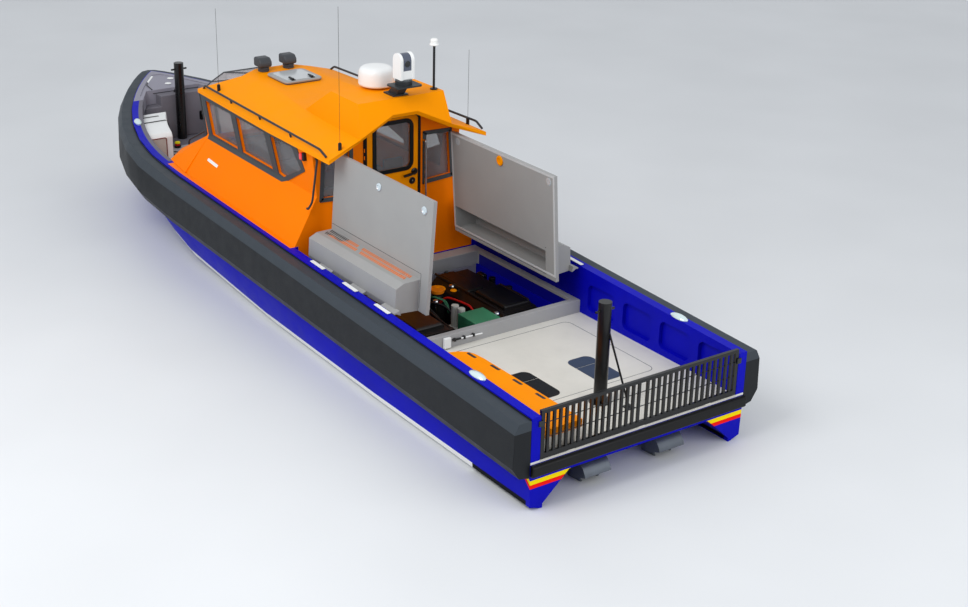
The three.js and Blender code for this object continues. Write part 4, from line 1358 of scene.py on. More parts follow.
@dataclass
class AftDeck:
    """The aft well: deck, mats, rescue board, beam, gate and post."""

    deck_z: float = 535
    mats: tuple[tuple[float, float, float, float], ...] = (
        (1000, 1610, -610, -285), (1010, 1660, 205, 530),
    )
    mat_splits_x: tuple[float, ...] = (1405, 1445)
    board_slots: tuple[tuple[float, float], ...] = ((1840, 795), (1464, 762), (1062, 772), (680, 771))
    hatch_line: tuple[float, float, float, float] = (935, 2470, -1005, 690)

    def build(self) -> None:
        """Make everything in the aft well."""
        SHOP.paint("aft_deck", Finishes.DECK)
        SHOP.soften("side_bench", Finishes.DECK, 8 * MM)
        SHOP.soften("bay_coaming", Finishes.COAMING, 8 * MM, 2)
        SHOP.soften("stern_gate", Finishes.BLACK, 1.5 * MM, 1, Body.GATE.value)
        SHOP.soften("tow_post_aft", Finishes.BLACK, 3 * MM)
        post_pin("aft", 665, 1557)
        self.mats_on_deck()
        self.line_on_deck()
        self.board()
        self.beam_fittings()
        self.gate_catches()

    def mats_on_deck(self) -> None:
        """Two rounded mats let into the deck."""
        for i, (x0, x1, y0, y1) in enumerate(self.mats):
            corners = rectangle(x0, x1, y0, y1, self.deck_z)
            mat = plate(f"deck_mat_{i + 1}", corners, Vector((0, 0, 5 * MM)), 90 * MM, edge=1.5 * MM)
            split = self.mat_splits_x[i]
            low = at(split - 6, y0 - 10, self.deck_z - 5)
            high = at(split + 6, y1 + 10, self.deck_z + 20)
            SHOP.deliver(carved(mat, block("split", low, high)), Finishes.MAT)

    def line_on_deck(self) -> None:
        """The thin groove round the deck's lifting panel."""
        corners = rectangle(*self.hatch_line, self.deck_z)
        line = plate("deck_panel_line", corners, Vector((0, 0, 0.8 * MM)), 90 * MM, hollow=7 * MM)
        SHOP.deliver(line, Finishes.FRAME)

    def board(self) -> None:
        """The rescue board with its hand slots cut in, and dark floors in the slots as painted shade."""
        cutters = []
        for x, y in self.board_slots:
            low, high = at(x - 78, y - 19, 790), at(x + 78, y + 19, 830)
            cutters.append(rounded_where(block("slot", low, high), 18 * MM, 4, runs_along(2)))
        board = carved(moulding("rescue_board_form", "rescue_board"), joined("slots", cutters))
        rounded(board, 7 * MM, 2)
        SHOP.deliver(board, Finishes.BOARD, stands_for=("rescue_board",))
        # Painted shade: dark floors at the bottom of the hand slots stand for the shade inside them.
        floors = [soft_block("floor", at(x - 77, y - 18, 786), at(x + 77, y + 18, 796.5), 2 * MM)
                  for x, y in self.board_slots]
        SHOP.deliver(joined("board_slot_floors", floors), Finishes.TRIM)

    def beam_fittings(self) -> None:
        """The white box and the clipped rod on the beam's aft face."""
        face_x = 2593
        case = soft_block("beam_box", at(face_x - 42, 556, 548), at(face_x, 652, 676), 14 * MM)
        SHOP.deliver(case, Finishes.WHITE)
        rod_x = face_x - 22
        rod = bar("beam_rod", at(rod_x, 540, 628), at(rod_x, 130, 616), 9 * MM, lip=3 * MM)
        SHOP.deliver(rod, Finishes.WHITE)
        clips = [soft_block("clip", at(face_x - 34, y - 14, 606), at(face_x, y + 14, 642), 4 * MM)
                 for y in (500, 375, 250)]
        clips.append(bar("grip", at(rod_x, 540, 628), at(rod_x, 420, 624.5), 12 * MM, lip=3 * MM))
        SHOP.deliver(joined("beam_rod_clips", clips), Finishes.BLACK)

    def gate_catches(self) -> None:
        """Small catches that hold the gate's ends to the posts."""
        catches = []
        for side in Side:
            y = side.value * 1292
            catches.append(soft_block("catch", at(-14, y - 26, 900), at(2, y + 30, 960), 5 * MM))
        SHOP.deliver(joined("gate_catch_keeps", catches), Finishes.TRIM)


@dataclass
class EngineBay:
    """Two engines with their covers, pipes and tanks between the open lids."""

    top_z: float = 640
    covers: tuple[tuple[float, ...], ...] = ((2905, 3495, 425, 795, 690), (3560, 4190, 372, 600, 668))
    lumps: tuple[tuple[float, float], ...] = ((2920, 600), (3180, 640), (3520, 610), (3900, 650))

    def build(self) -> None:
        """Make the engines and what stands between them."""
        for side in Side:
            self.engine(side)
        SHOP.soften("cooling_tank", Finishes.TANK, 4 * MM)
        SHOP.soften("gear_casing", Finishes.GREEN, 22 * MM, 3)
        SHOP.soften("fuel_filters", Finishes.FILTER, 6 * MM)
        self.fittings()

    def engine(self, side: Side) -> None:
        """One engine with its cover, pipes and bolts.

        Args:
            side: The side of the boat.
        """
        word, sign = side.word, side.value
        SHOP.soften(f"engine_{word}", Finishes.ENGINE, 20 * MM, 2)
        foot = self.top_z - 20
        covers = [soft_block("cover", at(x0, sign * y0, foot), at(x1, sign * y1, z), 28 * MM, 4)
                  for x0, x1, y0, y1, z in self.covers]
        finish = Finishes.BROWN if side is Side.PORT else Finishes.COVER
        SHOP.deliver(joined(f"engine_covers_{word}", covers), finish)
        lumps = [soft_block("lump", at(x, sign * 828, 470), at(x + 150, sign * 905, z), 26 * MM, 4)
                 for x, z in self.lumps]
        lumps += [bar("filter", at(x, sign * 866, 560), at(x, sign * 866, 668), 42 * MM, 28, 10 * MM)
                  for x in (3420, 3760)]
        SHOP.deliver(joined(f"engine_lumps_{word}", lumps), Finishes.COVER)
        runs = [
            [at(2960, sign * 812, 600), at(2960, sign * 812, 668), at(3540, sign * 812, 668),
             at(3540, sign * 870, 600)],
            [at(2860, sign * 376, 630), at(3520, sign * 340, 668), at(4200, sign * 340, 668)],
            [at(4180, sign * 500, 672), at(4330, sign * 560, 600), at(4330, sign * 620, 300)],
        ]
        pipes = [pipe("run", run, 16 * MM, 60 * MM) for run in runs]
        SHOP.deliver(joined(f"engine_pipes_{word}", pipes), Finishes.COVER)
        bolts = [bar("bolt", at(x, sign * y, 668), at(x, sign * y, 684), 9 * MM, 6)
                 for x in (2950, 3200, 3450) for y in (590, 740)]
        drum = turned("alternator", at(4205, sign * 480, 420),
                      ((0.02, 0), (0.075, 0), (0.08, 0.01), (0.08, 0.09), (0.06, 0.11), (0.03, 0.115)),
                      28, Vector((1, 0, 0)))
        bolts.append(drum)
        SHOP.deliver(joined(f"engine_bolts_{word}", bolts), Finishes.STEEL)

    def fittings(self) -> None:
        """Hoses, caps and round catches between the engines."""
        route = [at(3640, -20, 560), at(3560, -54, 662), at(3400, -96, 668), at(3190, -136, 664),
                 at(3120, -150, 600)]
        SHOP.deliver(pipe("red_hose", route, 13 * MM, 70 * MM), Finishes.HOSE)
        dark = [
            pipe("run", [at(3330, 60, 300), at(3450, 60, 420), at(3650, 120, 420), at(3900, 120, 300)],
                 22 * MM, 90 * MM),
            pipe("run", [at(3300, -30, 500), at(3480, 20, 600), at(3600, 120, 610),
                         at(3900, 150, 560), at(4200, 150, 300)], 15 * MM, 80 * MM),
            pipe("run", [at(3250, 250, 560), at(3500, 262, 640), at(3900, 250, 620), at(4250, 270, 420)],
                 20 * MM, 90 * MM),
        ]
        SHOP.deliver(joined("bay_pipes", dark), Finishes.COVER)
        wires = []
        for i in range(3):
            route = [at(3420, -20 + 14 * i, 520), at(3500, -30 + 14 * i, 640),
                     at(3700, 40 + 10 * i, 650), at(3800, 130, 520)]
            wires.append(pipe("wire", route, 4 * MM, 60 * MM, 1))
        SHOP.deliver(joined("bay_wires", wires), Finishes.GREEN)
        wide = ((0.09, 0), (0.095, 0.006), (0.09, 0.016), (0.05, 0.02), (0.02, 0.03), (0.008, 0.031))
        small = ((0.036, 0), (0.04, 0.004), (0.034, 0.014), (0.008, 0.016))
        discs = [turned("disc", at(3823, -115, 652), wide, 40),
                 turned("disc", at(3707, -263, 640), small, 28)]
        SHOP.deliver(joined("bay_orange_caps", discs), Finishes.ORANGE)
        profile = ((0.016, 0), (0.032, 0.004), (0.036, 0.02), (0.03, 0.034), (0.008, 0.04))
        places = ((3801, -305, 640), (2859, -278, 640), (3600, 60, 600), (4300, 60, 560))
        caps = [turned("cap", at(*place), profile) for place in places]
        posts = [bar("post", at(x, y, 80), at(x, y, z), 8 * MM, 12)
                 for x, y, z in ((3600, 60, 605), (4300, 60, 565))]
        SHOP.deliver(joined("bay_caps", caps + posts), Finishes.STEEL)
        flanges = [bar("flange", at(x, -40, 300), at(x + 22, -40, 300), 130 * MM, 32, 4 * MM)
                   for x in (3094, 2720)]
        SHOP.deliver(joined("casing_flanges", flanges), Finishes.GREEN)


@dataclass
class BayLid:
    """One engine bay lid as it stands open, with its louvres, catches and hinge plates."""

    side: Side
    slot_size: tuple[float, float] = (21 * MM, 68 * MM)
    slot_step: float = 36 * MM
    slot_slant_deg: float = 30
    groups: tuple[tuple[float, float, int], ...] = (
        (3922, 925, 17), (2828, 925, 28), (3835, 998, 19), (2828, 998, 26),
    )
    cut: tuple[float, float] = (1376, 1390)
    floors: tuple[float, float] = (1373, 1378.9)
    face_slope: float = 0.07
    face: tuple[float, float] = (821, 2300)
    catches_x: tuple[float, float] = (2698, 3601)
    plates_x: tuple[float, ...] = (2768, 3430, 4137)

    @property
    def body(self) -> str:
        """The body that the lid rides on."""
        return (Body.LID_PORT if self.side is Side.PORT else Body.LID_STARBOARD).value

    def mirrored(self, piece: Object) -> Object:
        """The piece itself to port, and its twin to starboard.

        Args:
            piece: The piece as made for the port side.

        Returns:
            The piece for this side.
        """
        if self.side is Side.PORT:
            return piece
        other = twin(piece, piece.name + "_twin")
        bpy.data.objects.remove(piece)
        return other

    def face_point(self, x: float, z: float, proud: float = 0.0) -> Vector:
        """A point on the panel's outer face as it stands open.

        Args:
            x: Its place along the boat.
            z: Its height.
            proud: How far outboard of the face it lies.

        Returns:
            The point on the port side.
        """
        y, top = self.face
        return at(x, y + (top - z) * self.face_slope + proud, z)

    def fit(self, piece: Object, finish: Finishes, name: str) -> None:
        """Hand over a fitting that rides on the lid, named for its side.

        Args:
            piece: The piece as made for the port side.
            finish: What it is finished in.
            name: The fitting's name.
        """
        SHOP.deliver(self.mirrored(piece), finish, self.body).name = f"{name}_{self.side.word}"

    def slots(self, low: float, high: float) -> Object:
        """The slanted slots of the louvres as solid bars between two heights.

        Args:
            low: The bars' lower end.
            high: The bars' upper end.

        Returns:
            The bars for this side as one piece.
        """
        slant = Matrix.Rotation(math.radians(self.slot_slant_deg), 4, "Z")
        wide, long = self.slot_size
        half = Vector((wide / 2, long / 2, (high - low) * MM / 2))
        bars = []
        for x, y, count in self.groups:
            piece = block("slot", -half, half)
            piece.matrix_world = Matrix.Translation(at(x, y, (low + high) / 2)) @ slant
            activate(piece)
            bpy.ops.object.transform_apply(location=True, rotation=True, scale=True)
            bars.append(row_of(piece, count, Vector((self.slot_step, 0, 0))))
        return self.mirrored(joined("louvre_slots", bars))

    def build(self) -> None:
        """Make the lid and its fittings."""
        word = self.side.word
        lid = carved(moulding(f"lid_{word}_form", f"lid_{word}"), self.slots(*self.cut))
        rounded_where(lid, 7 * MM, 2,
                      lambda edge: is_corner(edge, 20) and edge.calc_length() > 150 * MM)
        SHOP.deliver(lid, Finishes.LID, self.body, (f"lid_{word}",))
        floors = SHOP.deliver(self.slots(*self.floors), Finishes.LOUVRE, self.body)
        floors.name = f"lid_louvre_floors_{word}"
        self.seam()
        self.catches()
        self.hinge_plates()
        self.inside()

    def seam(self) -> None:
        """The thin dark line round the box's foot on the panel's outer face."""
        route = [self.face_point(x, z, 0.5) for x, z in ((4556, 1452), (2682, 1452), (2682, 1062))]
        self.fit(pipe("seam", route, 2.5 * MM, detail=1), Finishes.TRIM, "lid_seam")

    def catches(self) -> None:
        """Round catches near the lid's free edge, on both faces, and an orange latch inside."""
        outer = ((0.042, 0), (0.047, 0.004), (0.041, 0.016), (0.024, 0.02), (0.018, 0.013),
                 (0.005, 0.012))
        inner = ((0.042, 0), (0.047, 0.001), (0.042, 0.0035), (0.024, 0.004), (0.018, 0.0025),
                 (0.005, 0.0023))
        orange = ((0.055, 0), (0.06, 0.004), (0.058, 0.014), (0.036, 0.018), (0.034, 0.01),
                  (0.006, 0.009))
        outward = Vector((0, 1, self.face_slope))
        made = [turned("catch", self.face_point(x, 2160), outer, 28, outward) for x in self.catches_x]
        made += [turned("catch", at(x, 786, 2208), inner, 28, -outward) for x in (2647, 4422)]
        self.fit(joined("catches", made), Finishes.CATCH, "lid_catches")
        latch = turned("latch", at(3560, 786, 2204), orange, 32, -outward)
        self.fit(latch, Finishes.ORANGE, "lid_latch")

    def hinge_plates(self) -> None:
        """White hinge plates along the lip, which stay on the boat."""
        plates = []
        for x in self.plates_x:
            z = (Hull.rail_height(STERN_X + x * MM) + 0.0255) / MM
            corners = [at(x - 140, 1296, z), at(x + 140, 1296, z + 10),
                       at(x + 140, 1344, z + 10), at(x - 140, 1344, z)]
            plates.append(plate("plate", corners, Vector((0, 0, 5 * MM)), 10 * MM, edge=1 * MM))
        made = SHOP.deliver(self.mirrored(joined("plates", plates)), Finishes.WHITE)
        made.name = f"lid_hinge_plates_{self.side.word}"

    def inside(self) -> None:
        """The rim on the lid's inner face, painted a lighter grey than the lid as a painted highlight, and a
        small knob on its box.
        """
        corners = ((2542, 1074), (4558, 1074), (4558, 2294), (2542, 2294))
        inner = [self.face_point(x, z, -42) for x, z in corners]
        rim = plate("rim", inner, Vector((0, -3.5 * MM, -0.25 * MM)), hollow=26 * MM, edge=1 * MM)
        # The rim's lighter grey is a painted highlight.
        self.fit(rim, Finishes.RIM, "lid_rim")
        profile = ((0.016, 0), (0.02, 0.004), (0.02, 0.016), (0.012, 0.022), (0.003, 0.023))
        self.fit(turned("knob", at(2722, 862, 1381), profile, 24), Finishes.BLACK, "lid_knob")


# The wheelhouse


@dataclass
class Wheelhouse:
    """The wheelhouse shell with its windows' seals, door, rails, lights and plate."""

    bulkhead: float = 4730
    panes: tuple[tuple[tuple[float, float], ...], ...] = (
        ((7478, 1766), (7545, 2214), (6826, 2214), (6737, 1766)),
        ((6616, 1766), (6684, 2214), (5926, 2214), (5797, 1766)),
        ((5662, 1766), (5772, 2214), (5233, 2218), (5043, 1985), (5540, 1747)),
    )
    band: tuple[tuple[float, float], ...] = (
        (7650, 2272), (7585, 1736), (5425, 1736), (4952, 1992), (5104, 2258),
    )
    plate_corners: tuple[tuple[float, float], ...] = (
        (7289, 1497), (7292, 1527), (6815, 1495), (6808, 1463),
    )
    strip: tuple[tuple[float, float], ...] = ((7585, 1737), (7580, 1688), (5545, 1688), (5425, 1737))
    shoulder_y: float = 975
    shoulder_z: float = 1735

    def wall(self, x: float, z: float) -> Vector:
        """A point on the port wall's outer face above the shoulder."""
        lean = (z - self.shoulder_z) * 60 / 595
        return at(x, self.shoulder_y + lean - (x - self.bulkhead) * 50 / 2910, z)

    def skirt(self, x: float, z: float) -> Vector:
        """A point on the port wall's sloping lower face."""
        spread = (z - self.shoulder_z) * 0.5534
        return at(x, self.shoulder_y - spread - (x - self.bulkhead) * 50 / 2910, z)

    def build(self) -> None:
        """Make the shell and everything fixed to it."""
        SHOP.soften("wheelhouse", Finishes.HOUSE, 9 * MM, 3)
        for node in ("side_glass_port", "side_glass_starboard", "aft_glass_port",
                     "aft_glass_starboard", "door_glass"):
            SHOP.paint(node, Finishes.GLASS)
        SHOP.paint("screen_glass", Finishes.SCREEN_GLASS)
        SHOP.paint("screen_frame", Finishes.FRAME)
        self.side_seals()
        self.aft_seals()
        self.grab_rails()
        self.lights()
        self.plate_on_side()
        self.screen_trim()

    def side_seals(self) -> None:
        """One dark band round the side windows, open at each pane, on both sides."""
        down = self.wall(6000, 1800) - self.wall(6000, 1900)
        outward = down.cross(Vector((1, 0, 0))).normalized()
        if outward.y < 0:
            outward = -outward
        band = plate("side_seals_port", [self.wall(x, z) for x, z in self.band],
                     outward * (10 * MM), 12 * MM)
        for outline in self.panes:
            corners = [self.wall(x, z) - outward * (20 * MM) for x, z in outline]
            carved(band, plate("pane", corners, outward * (60 * MM), 12 * MM))
        rounded(band, 2 * MM, 2, 50)
        low = plate("strip", [self.skirt(x, z) for x, z in self.strip],
                    Vector((0, 9 * MM, 5 * MM)), edge=2 * MM)
        SHOP.deliver_pair(joined("side_seals_port", [band, low]), Finishes.SEAL)

    def aft_seals(self) -> None:
        """Dark seals round the windows beside the door."""
        outline = ((488, 1632), (948, 1662), (906, 2288), (488, 2302))
        corners = [at(self.bulkhead, y, z) for y, z in outline]
        port = plate("aft_seal_port", corners, Vector((-12 * MM, 0, 0)), 22 * MM, 50 * MM, 2.5 * MM)
        SHOP.deliver_pair(port, Finishes.SEAL)

    def grab_rails(self) -> None:
        """Rails by the door, at the aft corners and on the nose."""
        x = self.bulkhead
        corner = [at(x, 985, 2205), at(x - 46, 990, 2200), at(x - 46, 1066, 1700),
                  at(x - 30, 1112, 1622), at(x, 1112, 1622)]
        nose = [at(8060, 1000, 1462), at(8060, 1000, 1552), at(7672, 935, 1774), at(7640, 932, 1700)]
        rails = [pipe("corner_rail_port", corner, 13 * MM, 45 * MM),
                 pipe("nose_rail_port", nose, 12 * MM, 40 * MM)]
        for rail in rails:
            SHOP.deliver_pair(rail, Finishes.TRIM)
        upright = [at(x, -500, 2195), at(x - 55, -500, 2195), at(x - 55, -503, 1470), at(x, -503, 1470)]
        SHOP.deliver(pipe("door_rail", upright, 14 * MM, 40 * MM), Finishes.STEEL)

    def lights(self) -> None:
        """The red and green side lights, each a lens before a dark rounded housing."""
        foot = self.wall(4930, 2150)
        case = soft_block("side_light_housing_port", foot + Vector((-0.05, -0.02, -0.012)),
                          foot + Vector((0.0, 0.05, 0.088)), 14 * MM, 4)
        lens = soft_block("side_light_lens_port", foot + Vector((-0.02, -0.01, -0.004)),
                          foot + Vector((0.036, 0.064, 0.08)), 16 * MM, 4)
        SHOP.deliver(twin(case, "side_light_housing_starboard"), Finishes.WHIP)
        SHOP.deliver(twin(lens, "side_light_lens_starboard"), Finishes.GREEN_LENS)
        SHOP.deliver(case, Finishes.WHIP)
        SHOP.deliver(lens, Finishes.RED_LENS)

    def lower_wall(self, x: float, z: float) -> Vector:
        """A point on the port wall's outer face under the shoulder."""
        return at(x, 1312 - 0.765 * (z - 1155 - 0.03265 * (x - self.bulkhead)), z)

    def plate_on_side(self) -> None:
        """The bare white plate under the forward windows, and its twin."""
        corners = [self.lower_wall(x, z) for x, z in self.plate_corners]
        lift = Vector((0, 7 * MM, 5 * MM))
        port = plate("side_plate_port", corners, lift, 14 * MM, edge=1.5 * MM)
        SHOP.deliver_pair(port, Finishes.WHITE)

    def screen_trim(self) -> None:
        """Thin seals along the windscreen's edges."""
        rows = (
            ((7665, 925, 1698), (7900, 640, 1564), (8080, 300, 1461)),
            ((7720, 975, 2262), (8060, 640, 2290), (8377, 293, 2300)),
            ((7690, 950, 2285), (7484, 494, 2445), (7560, 255, 2470)),
        )
        lines = []
        for row in rows:
            port = [at(*p) for p in row]
            lines.append(port + [flipped(p) for p in reversed(port)])
        for a, b in zip(rows, rows[1:]):
            for p, q in zip(a, b):
                lines.append([at(*p), at(*q)])
                lines.append([flipped(at(*p)), flipped(at(*q))])
        seals = [pipe("seal", line, 9 * MM, detail=2) for line in lines]
        SHOP.deliver(joined("screen_seals", seals), Finishes.SEAL)


@dataclass
class CabinDoor:
    """The cabin door with its window seal, lever, lock and the seal in its opening."""

    bulkhead: float = 4730
    opening: tuple[float, float, float, float] = (-420, 310, 790, 2520)
    window: tuple[float, float, float, float] = (-316, 180, 1890, 2460)

    def outline(self, box: tuple[float, float, float, float], grow: float, x: float) -> list[Vector]:
        """A rectangle on the bulkhead, grown on all sides.

        Args:
            box: Its y and z limits.
            grow: How far each side moves out.
            x: How far forward it lies.

        Returns:
            Its corners.
        """
        y0, y1, z0, z1 = box
        return [at(x, y0 - grow, z0 - grow), at(x, y1 + grow, z0 - grow),
                at(x, y1 + grow, z1 + grow), at(x, y0 - grow, z1 + grow)]

    def build(self) -> None:
        """Make the door and its fittings."""
        body = Body.DOOR.value
        aft = Vector((-1, 0, 0))
        SHOP.soften("door", Finishes.ORANGE, 5 * MM, 2, body)
        ring = plate("door_window_seal", self.outline(self.window, 38, self.bulkhead),
                     aft * (14 * MM), 108 * MM, 50 * MM, 4 * MM)
        SHOP.deliver(ring, Finishes.RUBBER, body)
        jamb = plate("door_opening_seal", self.outline(self.opening, 37, self.bulkhead),
                     aft * (9 * MM), 95 * MM, 34 * MM, 2 * MM)
        SHOP.deliver(jamb, Finishes.RUBBER)
        hinge_x = self.bulkhead - 10
        hinge = bar("door_hinge_seal", at(hinge_x, 318, 800), at(hinge_x, 318, 2505), 17 * MM, 24, 3 * MM)
        SHOP.deliver(hinge, Finishes.RUBBER, body)
        self.lever(body, aft)

    def lever(self, body: str, aft: Vector) -> None:
        """The lever handle and the lock below it.

        Args:
            body: The body that they ride on.
            aft: The direction away from the door's face.
        """
        x = self.bulkhead
        rose = ((0.038, 0), (0.043, 0.004), (0.043, 0.014), (0.03, 0.021), (0.01, 0.023))
        lock = ((0.04, 0), (0.044, 0.006), (0.036, 0.011), (0.028, 0.009), (0.006, 0.009))
        grip = [at(x - 48, -372, 1824), at(x - 52, -290, 1806), at(x - 50, -196, 1796)]
        parts = [
            turned("rose", at(x, -368, 1822), rose, 28, aft),
            bar("stem", at(x - 10, -368, 1822), at(x - 52, -368, 1822), 13 * MM, 16),
            pipe("grip", grip, 17 * MM, 30 * MM),
            turned("lock", at(x, -340, 1708), lock, 28, aft),
        ]
        SHOP.deliver(joined("door_lever", parts), Finishes.BLACK, body)
        key = soft_block("door_key_plate", at(x - 14, -346, 1702), at(x - 7, -334, 1720), 1 * MM)
        SHOP.deliver(key, Finishes.STEEL, body)


@dataclass
class Roof:
    """The roof with its rails, hatch and gear."""

    rail_route: tuple[tuple[float, float, float], ...] = (
        (4330, 1076, 2346), (4462, 1082, 2404), (7590, 956, 2393), (7668, 938, 2330),
    )
    feet: tuple[tuple[float, float], ...] = ((5205, 1052), (6020, 1018), (6830, 985))

    def build(self) -> None:
        """Make the roof and what stands on it."""
        SHOP.soften("roof", Finishes.ORANGE, 16 * MM, 3)
        self.rails()
        self.hatch()
        self.radar()
        self.turret()
        self.pole()
        self.searchlights()
        for node in ("whip_fore_port", "whip_aft_port", "whip_aft_starboard"):
            self.whip(node)

    def rails(self) -> None:
        """A low rail along each eave, on short feet."""
        parts = [pipe("rail", [at(*p) for p in self.rail_route], 14 * MM, 30 * MM)]
        for x, y in self.feet:
            foot = [at(x, y, 2400), at(x - 4, y - 6, 2372), at(x, y - 14, 2348)]
            parts.append(pipe("foot", foot, 13 * MM))
        SHOP.deliver_pair(joined("roof_rail_port", parts), Finishes.TRIM)

    @staticmethod
    def whip(node: str) -> None:
        """A whip aerial: a thin rod on a black foot.

        Args:
            node: The CAD node that it stands for.
        """
        low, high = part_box(node)
        middle = [(a + b) / 2 for a, b in zip(low, high)]
        foot = Vector((middle[0], middle[1], low[2]))
        profile = ((0.02, 0), (0.021, 0.004), (0.021, 0.078), (0.016, 0.09), (0.004, 0.094))
        base = turned("base", foot, profile, 24)
        tip = Vector((foot.x, foot.y, high[2]))
        rod = bar("rod", foot + Vector((0, 0, 0.08)), tip, 2.1 * MM, 10)
        SHOP.deliver(joined(f"{node}_form", [base, rod]), Finishes.WHIP, stands_for=(node,))

    def hatch(self) -> None:
        """The roof hatch with its pane and handles, on its frame."""
        body = Body.HATCH.value
        SHOP.soften("roof_hatch", Finishes.LID, 12 * MM, 3, body)
        SHOP.paint("hatch_frame", Finishes.FRAME)
        top = 2547
        corners = rectangle(6745, 7175, -215, 215, top)
        pane = plate("hatch_pane", corners, Vector((0, 0, 5 * MM)), 50 * MM, edge=2 * MM)
        SHOP.deliver(pane, Finishes.PANE, body)
        handles = []
        for y in (140, -140):
            handles.append(soft_block("base", at(6722, y - 26, top), at(6790, y + 26, 2560), 4 * MM))
            handles.append(soft_block("grip", at(6735, y - 14, 2556), at(6850, y + 14, 2574), 6 * MM))
        SHOP.deliver(joined("hatch_handles", handles), Finishes.BLACK, body)

    def radar(self) -> None:
        """The radar dome on its foot."""
        profile = ((0.1, 0), (0.11, 0.004), (0.11, 0.011), (0.138, 0.013), (0.186, 0.022),
                   (0.206, 0.033), (0.212, 0.046), (0.2125, 0.056), (0.209, 0.059), (0.2125, 0.062),
                   (0.2125, 0.12), (0.2095, 0.17), (0.204, 0.2), (0.19, 0.226), (0.165, 0.244),
                   (0.12, 0.253), (0.05, 0.256), (0.0, 0.256))
        dome = turned("radar_dome_form", at(4980, 5, 2859), profile, 56)
        SHOP.deliver(dome, Finishes.WHITE, stands_for=("radar_dome",), smooth=40)

    def turret(self) -> None:
        """The camera turret with its ring and eye, on its bracket."""
        SHOP.soften("turret_bracket", Finishes.TRIM, 4 * MM)
        SHOP.soften("camera_turret", Finishes.TURRET, 12 * MM, 3)
        x, y, foot = 4428, -20, 3060
        ring = ((0.094, 0), (0.098, 0.004), (0.098, 0.024), (0.09, 0.03))
        SHOP.deliver(turned("turret_ring", at(x, y, foot - 2), ring, 48), Finishes.FRAME)
        eye = ((0.034, 0), (0.036, 0.006), (0.03, 0.008), (0.01, 0.005))
        aft = Vector((-1, 0, 0))
        SHOP.deliver(turned("turret_eye", at(x - 79, y, foot + 205), eye, 32, aft), Finishes.SCREEN)

    def pole(self) -> None:
        """The light pole with its white light on top."""
        SHOP.soften("light_pole", Finishes.POLE, 3 * MM)
        profile = ((0.05, 0), (0.056, 0.004), (0.056, 0.016), (0.04, 0.024), (0.036, 0.028),
                   (0.037, 0.062), (0.03, 0.074), (0.01, 0.08))
        SHOP.deliver(turned("pole_lamp", at(4537, -512, 3384), profile, 32), Finishes.WHITE)

    def searchlights(self) -> None:
        """Two searchlights, each a rounded head on a ribbed collar."""
        ribs = ((0.068, 0), (0.074, 0.004), (0.074, 0.02), (0.064, 0.026), (0.064, 0.03),
                (0.074, 0.036), (0.074, 0.05), (0.06, 0.058), (0.058, 0.066))
        for side in Side:
            y = side.value * 182
            collar = turned("collar", at(7450, y, 2514), ribs, 36)
            head = block("head", at(7370, y - 90, 2574), at(7558, y + 90, 2694))
            head = rounded_where(head, 50 * MM, 1, lambda edge: all(
                v.co.x < at(7380, 0, 0).x and v.co.z > 2.69 for v in edge.verts))
            head = rounded_where(head, 26 * MM, 4, is_corner)
            SHOP.deliver(joined(f"searchlight_{side.word}_form", [collar, head]), Finishes.HEAD,
                         stands_for=(f"searchlight_{side.word}",), smooth=45)


# The bow and the cabin


